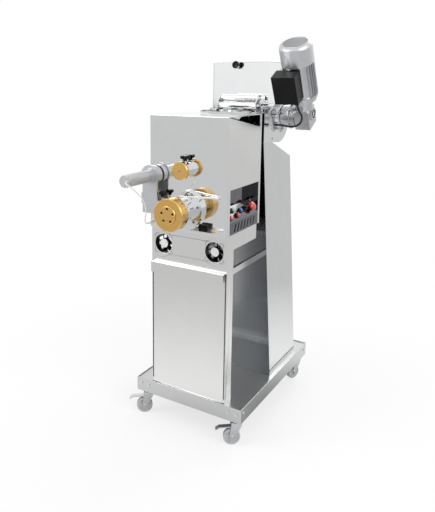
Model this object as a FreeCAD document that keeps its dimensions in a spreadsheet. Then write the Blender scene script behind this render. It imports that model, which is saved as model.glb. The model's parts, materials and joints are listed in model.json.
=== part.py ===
import FreeCAD, Part
import math
import os
import Sketcher

# Floor-standing electric pasta maker, in millimetres.
# +Z is up, +X is the machine's right, -Y is its front.
# The origin is on the floor under the middle of the base frame.

doc = FreeCAD.newDocument("PastaMaker")
sheet = doc.addObject("Spreadsheet::Sheet", "Sizes")
V = FreeCAD.Vector


class Measure:
    """A length together with the formula that gives it from the sheet."""

    def __init__(self, value, formula):
        self.value = float(value)
        self.formula = formula

    def __add__(self, other):
        other = measure(other)
        return Measure(self.value + other.value, f"({self.formula} + {other.formula})")

    def __radd__(self, other):
        return measure(other) + self

    def __sub__(self, other):
        other = measure(other)
        return Measure(self.value - other.value, f"({self.formula} - {other.formula})")

    def __rsub__(self, other):
        return measure(other) - self

    def __mul__(self, other):
        other = measure(other)
        return Measure(self.value * other.value, f"({self.formula} * {other.formula})")

    def __rmul__(self, other):
        return measure(other) * self

    def __truediv__(self, other):
        other = measure(other)
        return Measure(self.value / other.value, f"({self.formula} / {other.formula})")

    def __neg__(self):
        return Measure(-self.value, f"(0 - {self.formula})")


def measure(value):
    if isinstance(value, Measure):
        return value
    text = repr(float(value))
    return Measure(value, text if value >= 0 else f"({text})")


def sine(angle):
    return Measure(math.sin(math.radians(angle.value)), f"sin({angle.formula} * 1 deg)")


def cosine(angle):
    return Measure(math.cos(math.radians(angle.value)), f"cos({angle.formula} * 1 deg)")


def root(value):
    return Measure(math.sqrt(value.value), f"sqrt({value.formula})")


rows = []


def size(name, value):
    rows.append(name)
    row = len(rows)
    sheet.set(f"A{row}", name)
    sheet.set(f"B{row}", str(value))
    sheet.setAlias(f"B{row}", name)
    return Measure(value, f"Sizes.{name}")


# Clearances and stock
gap = size("gap", 0.3)
running = size("running", 0.05)
panel = size("panel_sheet", 2)
plate = size("plate_sheet", 4)

# Base frame
base_width = size("base_width", 472)
base_depth = size("base_depth", 684)
rail_bottom = size("rail_bottom", 106)
rail_height = size("rail_height", 57)
rail_width = size("rail_width", 36)
rail_wall = size("rail_wall", 2.5)
deck_drop = size("deck_drop", 4)
deck_sheet = size("deck_sheet", 3)

# Castors
castor_inset = size("castor_inset", 34)
castor_trail = size("castor_trail", 18)
wheel_radius = size("wheel_radius", 32.5)
wheel_width = size("wheel_width", 22)
tyre_round = size("tyre_round", 4)
axle_radius = size("axle_radius", 4)
kingpin_radius = size("kingpin_radius", 5)
fork_wall = size("fork_wall", 2.5)
fork_side_gap = size("fork_side_gap", 1.5)
crown_thickness = size("crown_thickness", 5)
castor_plate_side = size("castor_plate_side", 56)
front_castor_yaw = size("front_castor_yaw", 215)
rear_castor_yaw = size("rear_castor_yaw", 248)
pedal_length = size("pedal_length", 64)
pedal_width = size("pedal_width", 20)
pedal_pin_radius = size("pedal_pin_radius", 3)

# Front column
column_width = size("column_width", 327)
column_setback = size("column_setback", 6)
column_flange = size("column_flange", 51)
cradle_height = size("cradle_height", 57)
cradle_depth = size("cradle_depth", 245)
fan_panel_foot = size("fan_panel_foot", 34.3)
fan_spread = size("fan_spread", 110)
fan_side = size("fan_side", 80)
fan_depth = size("fan_depth", 25)
fan_hole_pitch = size("fan_hole_pitch", 71.5)
fan_drop = size("fan_drop", 22.7)
screw_radius = size("screw_radius", 2.1)
screw_head_radius = size("screw_head_radius", 3.8)
door_side_gap = size("door_side_gap", 7)
door_lip_height = size("door_lip_height", 40)
door_lip_reach = size("door_lip_reach", 18)
door_pin_radius = size("door_pin_radius", 4)

# Tie bars and rear column
tie_spread = size("tie_spread", 130)
tie_bottom = size("tie_bottom", 638)
tie_height = size("tie_height", 24)
tie_thickness = size("tie_thickness", 12)
tower_front = size("tower_front", 310)
tower_depth = size("tower_depth", 272)
tower_foot_width = size("tower_foot_width", 432)
tower_top_width = size("tower_top_width", 316)
tower_top = size("tower_top", 1122)
tower_shelf = size("tower_shelf", 78)
tower_slope = size("tower_slope", 21.6)
gland_height = size("gland_height", 300)
gland_bore = size("gland_bore", 5.5)

# Head
head_width = size("head_width", 327)
head_height = size("head_height", 427)
head_bottom = size("head_bottom", 811)
head_depth = size("head_depth", 278)
head_front = size("head_front", -3)
window_drop = size("window_drop", 48)
recess_front = size("recess_front", 21)
recess_length = size("recess_length", 240)
recess_top = size("recess_top", 168)
recess_slope_foot = size("recess_slope_foot", 47)
recess_slope_rise = size("recess_slope_rise", 48)
recess_depth = size("recess_depth", 36)
button_radius = size("button_radius", 8.5)
button_travel = size("button_travel", 3)
bezel_radius = size("bezel_radius", 11)
stop_radius = size("stop_radius", 19)
stop_travel = size("stop_travel", 4)

# Extruder
bore_rise = size("bore_rise", 88)
barrel_radius = size("barrel_radius", 44)
barrel_bore = size("barrel_bore", 27)
barrel_reach = size("barrel_reach", 116)
barrel_tail = size("barrel_tail", 160)
flange_radius = size("flange_radius", 70)
flange_thickness = size("flange_thickness", 18)
flange_bolt_circle = size("flange_bolt_circle", 58)
ring_radius = size("ring_radius", 60)
ring_length = size("ring_length", 42)
ring_lip = size("ring_lip", 9)
die_radius = size("die_radius", 40)
die_thickness = size("die_thickness", 22)
die_hole_radius = size("die_hole_radius", 4.5)
die_hole_circle = size("die_hole_circle", 24)
auger_core = size("auger_core", 12)
auger_pitch = size("auger_pitch", 38)
drive_width = size("drive_width", 110)
drive_motor_radius = size("drive_motor_radius", 55)

# Post above the extruder
post_rise = size("post_rise", 147)
post_radius = size("post_radius", 27)
post_reach = size("post_reach", 42)
plug_radius = size("plug_radius", 33)
plug_face = size("plug_face", 14)
star_radius = size("star_radius", 16)
star_height = size("star_height", 20)

# Cutter
cutter_x = size("cutter_x", -140)
cutter_rise = size("cutter_rise", 116)
cutter_tube_radius = size("cutter_tube_radius", 23)
cutter_tube_length = size("cutter_tube_length", 158)
cutter_plate_y = size("cutter_plate_y", 34)
cutter_plate_width = size("cutter_plate_width", 66)
cutter_plate_foot = size("cutter_plate_foot", 142)
cutter_hood_radius = size("cutter_hood_radius", 40)
hinge_x = size("hinge_x", -172)
hinge_pin_radius = size("hinge_pin_radius", 4)
hinge_knuckle = size("hinge_knuckle", 8)

# Tub and feed
upper_roller_rise = size("upper_roller_rise", 59)
lower_roller_rise = size("lower_roller_rise", 32)
upper_roller_back = size("upper_roller_back", 264)
lower_roller_back = size("lower_roller_back", 247)
tub_left = size("tub_left", -83)
tub_right = size("tub_right", 158)
tub_axis_y = size("tub_axis_y", 458)
tub_axis_z = size("tub_axis_z", 1221)
tub_radius = size("tub_radius", 108)
tub_top = size("tub_top", 1434)
tub_wall = size("tub_wall", 2.5)
shaft_radius = size("shaft_radius", 12)
gate_bottom = size("gate_bottom", 1256)
gate_stand_off = size("gate_stand_off", 14)
outlet_height = size("outlet_height", 62)
roller_radius = size("roller_radius", 12.5)
roller_length = size("roller_length", 156)
collar_radius = size("collar_radius", 96)
collar_height = size("collar_height", 14)
throat_radius = size("throat_radius", 62)
throat_neck = size("throat_neck", 10)
spout_radius = size("spout_radius", 24)

# Gearmotor of the mixer
motor_lean = size("motor_lean", 28)
motor_x = size("motor_x", 270)
gear_plate_side = size("gear_plate_side", 95)
gear_drum_radius = size("gear_drum_radius", 45)
worm_half = size("worm_half", 38)
motor_radius = size("motor_radius", 54)
motor_foot = size("motor_foot", 92)
motor_stator = size("motor_stator", 160)
fin_count = size("fin_count", 32)
fin_reach = size("fin_reach", 6)
cowl_radius = size("cowl_radius", 62)
cowl_length = size("cowl_length", 66)
terminal_width = size("terminal_width", 92)
terminal_length = size("terminal_length", 112)
terminal_depth = size("terminal_depth", 60)
lead_radius = size("lead_radius", 4)
cable_radius = size("cable_radius", 2.2)

doc.recompute()

front = -(base_depth / 2)
door_width = column_width - 2 * door_side_gap
bore_height = head_bottom + bore_rise
post_height = bore_height + post_rise
cutter_height = bore_height + cutter_rise
deck_top = rail_bottom + rail_height - deck_drop
base_top = rail_bottom + rail_height
column_y = front + column_setback
cradle_top = head_bottom - gap
cradle_bottom = cradle_top - cradle_height
head_y = front + head_front
head_rear = head_y + head_depth
head_top = head_bottom + head_height
tower_y = front + tower_front
axis_y = front + tub_axis_y

ALONG_X = FreeCAD.Rotation(V(0, 1, 0), 90)
ALONG_Y = FreeCAD.Rotation(V(1, 0, 0), -90)
ALONG_FRONT = FreeCAD.Rotation(V(1, 0, 0), 90)
ALONG_Z = FreeCAD.Rotation()
TURNS = {"x": ALONG_X, "y": ALONG_Y, "front": ALONG_FRONT, "z": ALONG_Z}
made = {}


def bind(thing, path, value):
    value = measure(value)
    thing.setExpression(path, value.formula)


def put(thing, at, turn=ALONG_Z):
    """Gives a feature its place, bound to the sheet, and a fixed turn."""
    at = [measure(part) for part in at]
    base = V(*[part.value for part in at])
    thing.Placement = FreeCAD.Placement(base, turn)
    for letter, part in zip("xyz", at):
        bind(thing, f"Placement.Base.{letter}", part)
    return thing


def block(at, width, depth, height):
    box = doc.addObject("Part::Box", "Block")
    bind(box, "Length", width)
    bind(box, "Width", depth)
    bind(box, "Height", height)
    return put(box, at)


def rod(at, radius, length, along="z"):
    cylinder = doc.addObject("Part::Cylinder", "Rod")
    bind(cylinder, "Radius", radius)
    bind(cylinder, "Height", length)
    return put(cylinder, at, TURNS[along])


def taper(at, radius, end_radius, length, along="z"):
    cone = doc.addObject("Part::Cone", "Taper")
    bind(cone, "Radius1", radius)
    bind(cone, "Radius2", end_radius)
    bind(cone, "Height", length)
    return put(cone, at, TURNS[along])


def union(*parts):
    fused = doc.addObject("Part::MultiFuse", "Union")
    fused.Shapes = list(parts)
    return fused


def less(base, *tools):
    cut = doc.addObject("Part::Cut", "Less")
    cut.Base = base
    cut.Tool = tools[0] if len(tools) == 1 else union(*tools)
    return cut


def group(*parts):
    together = doc.addObject("Part::Compound", "Group")
    together.Links = list(parts)
    return together


def tube(at, radius, bore, length, along="z"):
    return less(rod(at, radius, length, along), rod(at, bore, length, along))


def sketch_of(body, plane, points):
    """A closed outline of straight edges, each corner bound to the sheet."""
    sketch = body.newObject("Sketcher::SketchObject", "Outline")
    support = [item for item in body.Origin.OriginFeatures if item.Role == plane][0]
    sketch.AttachmentSupport = [(support, "")]
    sketch.MapMode = "FlatFace"
    corners = [[measure(part) for part in point] for point in points]
    count = len(corners)
    for index in range(count):
        here = [part.value for part in corners[index]]
        there = [part.value for part in corners[(index + 1) % count]]
        edge = Part.LineSegment(V(here[0], here[1], 0), V(there[0], there[1], 0))
        sketch.addGeometry(edge, False)
    for index in range(count):
        follower = (index + 1) % count
        sketch.addConstraint(Sketcher.Constraint("Coincident", index, 2, follower, 1))
    for index in range(count):
        across = corners[index][0]
        up = corners[index][1]
        held = Sketcher.Constraint("DistanceX", -1, 1, index, 1, across.value)
        number = sketch.addConstraint(held)
        sketch.setExpression(f"Constraints[{number}]", across.formula)
        held = Sketcher.Constraint("DistanceY", -1, 1, index, 1, up.value)
        number = sketch.addConstraint(held)
        sketch.setExpression(f"Constraints[{number}]", up.formula)
    return sketch


def turned(at, profile, along="z"):
    """A body of revolution: profile holds (radius, distance along the axis) corners."""
    body = doc.addObject("PartDesign::Body", "Turned")
    sketch = sketch_of(body, "XZ_Plane", profile)
    spin = body.newObject("PartDesign::Revolution", "Spin")
    spin.Profile = sketch
    spin.ReferenceAxis = (sketch, ["V_Axis"])
    spin.Angle = 360
    return put(body, at, TURNS[along])


def padded(at, points, length, plane="XY_Plane", turn=ALONG_Z):
    """A body pushed out of a flat outline by a length."""
    body = doc.addObject("PartDesign::Body", "Padded")
    sketch = sketch_of(body, plane, points)
    pad = body.newObject("PartDesign::Pad", "Push")
    pad.Profile = sketch
    bind(pad, "Length", length)
    return put(body, at, turn)


def side_profile(x, points, length):
    """A body with its outline in the side view, (y, z) corners, pushed along +X."""
    return padded((x, 0, 0), points, length, "YZ_Plane")


def finish(label, feature):
    feature.Label = label
    made[label] = feature
    return feature


def at_tub_axis(feature):
    """Leans a gearmotor piece, drawn upright about the origin, about the mixer axis."""
    feature.Placement = FreeCAD.Placement(
        V(0, axis_y.value, tub_axis_z.value),
        FreeCAD.Rotation(V(1, 0, 0), motor_lean.value),
    )
    bind(feature, "Placement.Base.y", axis_y)
    bind(feature, "Placement.Base.z", tub_axis_z)
    bind(feature, "Placement.Rotation.Angle", motor_lean)
    return feature


# Base frame: a lipped ring of box rails with the deck resting inside the lip
def base_frame():
    half_width = base_width / 2
    corner = (-half_width, front, rail_bottom)
    tube_height = rail_height - deck_drop - deck_sheet
    outer = block(corner, base_width, base_depth, rail_height)
    lip_inside = block(
        (-half_width + rail_wall, front + rail_wall, rail_bottom + tube_height),
        base_width - 2 * rail_wall,
        base_depth - 2 * rail_wall,
        rail_height,
    )
    window = block(
        (-half_width + rail_width, front + rail_width, rail_bottom - 1),
        base_width - 2 * rail_width,
        base_depth - 2 * rail_width,
        rail_height + 2,
    )
    hollow_outer = block(
        (-half_width + rail_wall, front + rail_wall, rail_bottom + rail_wall),
        base_width - 2 * rail_wall,
        base_depth - 2 * rail_wall,
        tube_height - 2 * rail_wall,
    )
    hollow_inner = block(
        (-half_width + rail_width - rail_wall, front + rail_width - rail_wall, rail_bottom),
        base_width - 2 * rail_width + 2 * rail_wall,
        base_depth - 2 * rail_width + 2 * rail_wall,
        rail_height,
    )
    hollow = less(hollow_outer, hollow_inner)
    finish("base_rails", less(outer, lip_inside, window, hollow))
    deck = block(
        (-half_width + rail_wall + gap, front + rail_wall + gap, deck_top - deck_sheet),
        base_width - 2 * (rail_wall + gap),
        base_depth - 2 * (rail_wall + gap),
        deck_sheet,
    )
    finish("deck_plate", deck)


# Castors: the plates stay on the rails, the forks swivel, the wheels roll
crown_bottom = rail_bottom - 18
crown_top = crown_bottom + crown_thickness
fork_inside = wheel_width / 2 + fork_side_gap
fork_outside = fork_inside + fork_wall
corners = {
    "front_left": (-1, front + castor_inset, front_castor_yaw),
    "front_right": (1, front + castor_inset, front_castor_yaw),
    "rear_left": (-1, front + base_depth - castor_inset, rear_castor_yaw),
    "rear_right": (1, front + base_depth - castor_inset, rear_castor_yaw),
}


def swivel_x(side):
    return side * (base_width / 2 - castor_inset)


def turn_castor(feature, side, y, yaw):
    feature.Placement = FreeCAD.Placement(
        V(swivel_x(side).value, y.value, 0), FreeCAD.Rotation(V(0, 0, 1), yaw.value)
    )
    bind(feature, "Placement.Base.x", swivel_x(side))
    bind(feature, "Placement.Base.y", y)
    bind(feature, "Placement.Rotation.Angle", yaw)
    return feature


def castor_mount(side, y):
    x = swivel_x(side)
    half = castor_plate_side / 2
    top_plate = block(
        (x - half, y - half, rail_bottom - 3), castor_plate_side, castor_plate_side, 3
    )
    boss = rod((x, y, crown_top + gap), 13, rail_bottom - crown_top - gap - 1)
    kingpin = rod((x, y, crown_bottom - 4), kingpin_radius, rail_bottom - crown_bottom)
    head = rod((x, y, crown_bottom - gap - 4), 8, 4)
    return union(top_plate, boss, kingpin, head)


def fork_leg(side):
    start = fork_inside if side > 0 else -fork_outside
    reach = measure(11)
    outline = [
        (-19, crown_top),
        (-19, crown_bottom - 6),
        (castor_trail - reach, wheel_radius),
        (castor_trail - reach / 2, wheel_radius - reach),
        (castor_trail + reach / 2, wheel_radius - reach),
        (castor_trail + reach, wheel_radius),
        (21, crown_bottom - 6),
        (21, crown_top),
    ]
    upright = FreeCAD.Rotation(V(1, 0, 0), 0)
    return padded((0, start + fork_wall, 0), outline, fork_wall, "XZ_Plane", upright)


def fork():
    crown = block((-19, -fork_outside, crown_bottom), 40, 2 * fork_outside, crown_thickness)
    disc = rod((0, 0, crown_bottom), 21, crown_thickness)
    body = union(crown, disc, fork_leg(1), fork_leg(-1))
    kingpin_hole = rod((0, 0, crown_bottom - 1), kingpin_radius + running, crown_thickness + 2)
    axle_hole = rod((castor_trail, -fork_outside - 1, wheel_radius), axle_radius, 60, "y")
    pin_hole = rod(
        (pedal_pin_x, -fork_outside - 1, pedal_pin_z), pedal_pin_radius + running, 60, "y"
    )
    shell = less(body, kingpin_hole, axle_hole, pin_hole)
    head = rod((castor_trail, -fork_outside - 4, wheel_radius), 7, 4, "y")
    shank = rod((castor_trail, -fork_outside - 1, wheel_radius), axle_radius, 2 * fork_outside + 2, "y")
    nut = rod((castor_trail, fork_outside, wheel_radius), 7, 4, "y")
    axle = union(head, shank, nut)
    return group(shell, axle)


def wheel():
    half = wheel_width / 2
    hub = axle_radius + running
    profile = [
        (hub, -half),
        (hub + 8, -half),
        (hub + 10, -half + 3),
        (wheel_radius - 9, -half + 3),
        (wheel_radius - 7, -half),
        (wheel_radius - tyre_round, -half),
        (wheel_radius, -half + tyre_round),
        (wheel_radius, half - tyre_round),
        (wheel_radius - tyre_round, half),
        (wheel_radius - 7, half),
        (wheel_radius - 9, half - 3),
        (hub + 10, half - 3),
        (hub + 8, half),
        (hub, half),
    ]
    return turned((castor_trail, 0, wheel_radius), profile, "y")


pedal_pin_x = castor_trail - 2
pedal_pin_z = 2 * wheel_radius + 12


def brake_pedal():
    low = pedal_pin_z - 5
    outline = [
        (pedal_pin_x - 6, low + 4),
        (pedal_pin_x - 6, low),
        (pedal_pin_x + pedal_length - 14, low - 3),
        (pedal_pin_x + pedal_length, low - 12),
        (pedal_pin_x + pedal_length, low - 8),
        (pedal_pin_x + pedal_length - 14, low + 1),
    ]
    half = pedal_width / 2
    upright = FreeCAD.Rotation(V(1, 0, 0), 0)
    tread = padded((0, half, 0), outline, pedal_width, "XZ_Plane", upright)
    pin_length = 2 * fork_outside
    pin = rod((pedal_pin_x, -fork_outside, pedal_pin_z), pedal_pin_radius, pin_length, "y")
    barrel = rod((pedal_pin_x, -half, pedal_pin_z), pedal_pin_radius + 2, pedal_width, "y")
    return union(tread, pin, barrel)


def castors():
    mounts = [castor_mount(side, y) for side, y, yaw in corners.values()]
    finish("castor_mounts", group(*mounts))
    for name, (side, y, yaw) in corners.items():
        finish(f"fork_{name}", turn_castor(fork(), side, y, yaw))
        rolling = group(wheel())
        finish(f"wheel_{name}", turn_castor(rolling, side, y, yaw))
        if name.startswith("front"):
            pedal = group(brake_pedal())
            finish(f"brake_pedal_{name[6:]}", turn_castor(pedal, side, y, yaw))


# Front column: a folded channel, its cradle under the head and the fan panel
fan_height = cradle_top - fan_side / 2 - fan_drop
fan_low = fan_height - fan_side / 2 - fan_panel_foot
door_top = fan_low - gap
door_bottom = base_top + 3
door_pin_y = column_y + 7
door_pin_z = door_bottom + 7
door_swing_room = measure(3.4)


def front_column():
    half = column_width / 2
    fan_opening = fan_side / 2 - 2
    outer_low = block((-half, column_y, deck_top), column_width, column_flange, cradle_top - deck_top)
    outer_cradle = block((-half, column_y, cradle_bottom), column_width, cradle_depth, cradle_height)
    inner_low = block(
        (-half + panel, column_y - 1, deck_top - 1),
        column_width - 2 * panel,
        column_flange + 2,
        fan_low - deck_top + 1,
    )
    inner_high = block(
        (-half + panel, column_y + panel, fan_low - 1),
        column_width - 2 * panel,
        cradle_depth - 2 * panel,
        cradle_top - fan_low - panel + 1,
    )
    openings = [
        rod((side * fan_spread, column_y - 1, fan_height), fan_opening, panel + 2, "y")
        for side in (-1, 1)
    ]
    holes = [
        rod((x, column_y - 1, z), screw_radius + gap, panel + 2, "y") for x, z in fan_corners()
    ]
    barrel_relief = block(
        (-barrel_radius, head_rear - 60, cradle_top - panel - 1), 2 * barrel_radius, 40, panel + 2
    )
    shell = less(
        union(outer_low, outer_cradle), inner_low, inner_high, barrel_relief, *openings, *holes
    )
    sill_height = door_bottom - deck_top - door_swing_room
    sill = block((-half + panel, column_y, deck_top), column_width - 2 * panel, column_flange, sill_height)
    lug = (column_width - door_width) / 2 - panel - gap
    lugs = [
        block((start, door_pin_y - 6, door_bottom), lug, 12, 14)
        for start in (-half + panel, half - panel - lug)
    ]
    body = union(shell, sill, *lugs)
    pin_hole = rod((-half - 1, door_pin_y, door_pin_z), door_pin_radius + running, column_width + 2, "x")
    finish("front_column", less(body, pin_hole))


def fan_corners():
    half = fan_hole_pitch / 2
    return [
        (side * fan_spread + across * half, fan_height + up * half)
        for side in (-1, 1)
        for across in (-1, 1)
        for up in (-1, 1)
    ]


def front_door():
    half = door_width / 2
    skin = block((-half, column_y, door_bottom), door_width, panel, door_top - door_bottom)
    lip_top = block((-half, column_y - door_lip_reach, door_top - panel), door_width, door_lip_reach, panel)
    lip_face = block(
        (-half, column_y - door_lip_reach, door_top - door_lip_height), door_width, panel, door_lip_height
    )
    returns = [
        block((start, column_y, door_bottom), panel, 20, door_top - door_bottom)
        for start in (-half, half - panel)
    ]
    pin_lugs = [
        rod((start, door_pin_y, door_pin_z), 6.5, 12, "x") for start in (-half, half - 12)
    ]
    stub = column_width / 2 - door_width / 2
    left_pin = rod((-half - stub, door_pin_y, door_pin_z), door_pin_radius, stub + 12, "x")
    right_pin = rod((half - 12, door_pin_y, door_pin_z), door_pin_radius, stub + 12, "x")
    leaf = union(skin, lip_top, lip_face, *returns)
    finish("front_door", union(leaf, *pin_lugs, left_pin, right_pin))


def fan_frame(side):
    half = fan_side / 2
    x = side * fan_spread
    y = column_y + panel
    frame = block((x - half, y, fan_height - half), fan_side, fan_depth, fan_side)
    duct = rod((x, y - 1, fan_height), half - 2, fan_depth + 2, "y")
    holes = [
        rod((cx, y - 1, cz), screw_radius + gap, fan_depth + 2, "y")
        for cx, cz in fan_corners()
    ]
    hub = rod((x, y + fan_depth - 3, fan_height), 16, 3, "y")
    spokes = union(
        block((x - half + 1, y + fan_depth - 3, fan_height - 2), fan_side - 2, 3, 4),
        block((x - 2, y + fan_depth - 3, fan_height - half + 1), 4, 3, fan_side - 2),
    )
    spindle = rod((x, y + 4 + gap, fan_height), 2, fan_depth - 4 - gap, "y")
    return union(less(frame, duct, *holes), hub, spokes, spindle)


def fan_rotor(side):
    x = side * fan_spread
    y = column_y + panel + 2
    length = fan_depth - 3 - 2 - 1
    hub = rod((x, y, fan_height), 18, length, "y")
    blades = []
    for index in range(7):
        blade = doc.addObject("Part::Box", "Blade")
        bind(blade, "Length", fan_side / 2 - 5 - 16)
        blade.Width = 2
        bind(blade, "Height", length - 2)
        angle = 360.0 * index / 7
        radial = V(math.cos(math.radians(angle)), 0, math.sin(math.radians(angle)))
        spin = FreeCAD.Rotation(V(0, 1, 0), -angle)
        pitch = FreeCAD.Rotation(V(1, 0, 0), -90 + 28)
        put(blade, (x + 16 * radial.x, y + 1.5, fan_height + 16 * radial.z), spin * pitch)
        blades.append(blade)
    spinner = union(hub, *blades)
    band = tube((x, y, fan_height), fan_side / 2 - 3, 12, length, "y")
    rotor = doc.addObject("Part::Common", "Trimmed")
    rotor.Base = spinner
    rotor.Tool = band
    cap = rod((x, y, fan_height), 18, length, "y")
    bore = rod((x, y + 2, fan_height), 2 + running, length, "y")
    return less(union(rotor, cap), bore)


def fans():
    finish("fan_frames", group(fan_frame(-1), fan_frame(1)))
    finish("fan_rotor_left", fan_rotor(-1))
    finish("fan_rotor_right", fan_rotor(1))


# Tie bars and the tapered rear tower
def tower_block(inset, low, high):
    """A tower prism, inset by a wall all round, between two heights at the sides' taper."""
    wedge = doc.addObject("Part::Wedge", "Tower")
    rise = tower_top - deck_top
    lean = (tower_foot_width - tower_top_width) / 2 / rise
    low_half = tower_foot_width / 2 - inset - lean * (low - deck_top)
    high_half = tower_foot_width / 2 - inset - lean * (high - deck_top)
    bind(wedge, "Xmin", -low_half)
    bind(wedge, "Xmax", low_half)
    bind(wedge, "X2min", -high_half)
    bind(wedge, "X2max", high_half)
    bind(wedge, "Ymin", 0)
    bind(wedge, "Ymax", high - low)
    bind(wedge, "Zmin", inset)
    bind(wedge, "Zmax", tower_depth - inset)
    bind(wedge, "Z2min", inset)
    bind(wedge, "Z2max", tower_depth - inset)
    rear = tower_y + tower_depth
    return put(wedge, (0, rear, low), ALONG_FRONT)


def slope_cutter(drop):
    """What lies above the tower's sloping roof, lowered by a drop."""
    run = tower_depth - tower_shelf
    fall = run * sine(tower_slope) / cosine(tower_slope)
    outline = [
        (tower_y - 5, tower_top - drop),
        (tower_y + tower_shelf, tower_top - drop),
        (tower_y + tower_depth + 5, tower_top - drop - fall * (run + 5) / run),
        (tower_y + tower_depth + 5, tower_top + 50),
        (tower_y - 5, tower_top + 50),
    ]
    return side_profile(-tower_foot_width, outline, 2 * tower_foot_width)


def rear_tower():
    outer = less(tower_block(0, deck_top, tower_top), slope_cutter(0))
    inner = less(tower_block(panel, deck_top - 1, tower_top - panel), slope_cutter(panel))
    gland_y = tower_y + tower_depth
    gland_hole = rod((0, gland_y - 2 * panel, gland_height), gland_bore + 4, 4 * panel, "y")
    tie_holes = [
        rod((side * tie_spread, tower_y - 1, tie_bottom + tie_height / 2), 4.3, panel + 2, "y")
        for side in (-1, 1)
    ]
    finish("rear_tower", less(outer, inner, gland_hole, *tie_holes))
    nut = rod((0, gland_y, gland_height), gland_bore + 8, 8, "y")
    dome = taper((0, gland_y + 8, gland_height), gland_bore + 7, gland_bore + 3, 9, "y")
    neck = rod((0, gland_y - 12, gland_height), gland_bore + 4 - gap, 12, "y")
    lock = rod((0, gland_y - panel - 6, gland_height), gland_bore + 8, 6, "y")
    bore = rod((0, gland_y - 13, gland_height), gland_bore, 40, "y")
    finish("mains_gland", less(union(nut, dome, neck, lock), bore))


def tie_bars():
    start = column_y + column_flange - 14
    length = tower_y - start
    half = column_width / 2
    bars = []
    for side in (-1, 1):
        x = side * tie_spread
        bar = block((x - tie_thickness / 2, start, tie_bottom), tie_thickness, length, tie_height)
        inner_edge = tie_spread + tie_thickness / 2
        reach = half - panel - inner_edge
        foot_x = inner_edge if side > 0 else -inner_edge - reach
        foot = block((foot_x, start, tie_bottom), reach, 12, tie_height)
        bars.append(union(bar, foot))
    finish("tie_bars", group(*bars))


# Head: folded shell, right side panel with its wedge window, and the control recess
recess_y = front + recess_front
recess_end = recess_y + recess_length
recess_low = head_bottom
recess_high = head_bottom + recess_top
slope_low = head_bottom + recess_slope_foot
slope_high = slope_low + recess_slope_rise
side_x = head_width / 2
recess_x = side_x - recess_depth
slope_length = root(recess_depth * recess_depth + recess_slope_rise * recess_slope_rise)
feed_x = measure(62)
feed_y = front + 170
lip = measure(9)


def head_shell():
    half = head_width / 2
    outer = block((-half, head_y, head_bottom), head_width, head_depth, head_height)
    inner = block(
        (-half + panel, head_y + panel, head_bottom + panel),
        head_width,
        head_depth - 2 * panel,
        head_height - 2 * panel,
    )
    barrel_hole = rod((0, head_y - 1, bore_height), barrel_radius + gap, panel + 2, "y")
    throat = rod((feed_x, feed_y, head_top - panel - 1), throat_radius + gap, panel + 2)
    shell = less(outer, inner, barrel_hole, throat)
    inset = panel + gap
    returns = [
        block((half - inset - panel, head_y + panel, head_bottom + panel), panel, lip, head_height - 2 * panel),
        block(
            (half - inset - panel, head_rear - panel - lip, head_bottom + panel),
            panel,
            lip,
            head_height - 2 * panel,
        ),
    ]
    side_room = block((half - inset, head_y + panel, head_bottom - 1), inset + 1, head_depth - 2 * panel, head_height - panel + 1)
    finish("head_shell", union(less(shell, side_room), *returns))


def head_side():
    low = head_bottom + gap
    high = head_top - panel - gap
    near = head_y + panel + gap
    far = head_rear - panel - gap
    outline = [(near, low), (far, low), (far, high - window_drop), (near + lip, high), (near, high)]
    skin = side_profile(side_x - panel, outline, panel)
    opening = block((side_x - panel - 1, recess_y, low - 1), panel + 2, recess_length, recess_high - low + 1)
    finish("head_side", less(skin, opening))


def console():
    """Folded pan behind the side panel's opening, with its sloping control face."""
    outline = [
        (recess_x - panel, recess_high),
        (side_x - panel - gap, recess_high),
        (side_x - panel - gap, recess_high - panel),
        (recess_x, recess_high - panel),
        (recess_x, slope_high),
        (side_x, slope_low),
        (side_x, head_bottom + panel + gap),
        (side_x - panel, head_bottom + panel + gap),
        (side_x - panel, slope_low - panel / 2),
        (recess_x - panel, slope_high - panel / 2),
    ]
    inner_length = recess_length - 2 * gap
    upright = FreeCAD.Rotation(V(1, 0, 0), 0)
    pan = padded((0, recess_end - gap, 0), outline, inner_length, "XZ_Plane", upright)
    slats = []
    for index in range(7):
        y = recess_y + 34 + 26 * index
        slat = [(y, head_bottom + 8), (y + 9, head_bottom + 8), (y + 21, slope_low - 9), (y + 12, slope_low - 9)]
        slats.append(side_profile(side_x - panel - 1, slat, panel + 2))
    ends = []
    for start in (recess_y + gap, recess_end - gap - panel):
        end = [
            (recess_x - panel, recess_high),
            (side_x - panel - gap, recess_high),
            (side_x - panel - gap, slope_low),
            (recess_x - panel, slope_high - panel / 2),
        ]
        ends.append(padded((0, start + panel, 0), end, panel, "XZ_Plane", upright))
    holes = [on_slope(group(rod((0, 0, -8), hole, 16)), y, rise) for y, rise, hole in console_holes()]
    finish("console", less(union(pan, *ends), *slats, *holes))


button_spots = {
    "red_button_front": (43, 18, button_radius),
    "red_button_rear": (99, 19, button_radius),
    "green_button": (82, 42, button_radius),
    "blue_button": (137, 31, button_radius),
    "selector_knob": (170, 33, button_radius),
    "stop_button": (219, 29, button_radius),
}
stem_radius = measure(6)
cap_lift = measure(5)


def console_holes():
    return [(y, rise, stem_radius + 3 + gap) for y, rise, radius in button_spots.values()]


def on_slope(feature, along, rise):
    """Puts a control, drawn upright about the origin, on the sloping face."""
    unit_x = recess_depth / slope_length
    unit_z = recess_slope_rise / slope_length
    turn = FreeCAD.Rotation(V(0, 1, 0), 90 - math.degrees(math.atan2(recess_depth.value, recess_slope_rise.value)))
    x = side_x - rise * unit_x
    z = slope_low + rise * unit_z
    put(feature, (x, front + along, z), turn)
    bind(feature, "Placement.Rotation.Angle", slope_turn())
    return feature


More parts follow.
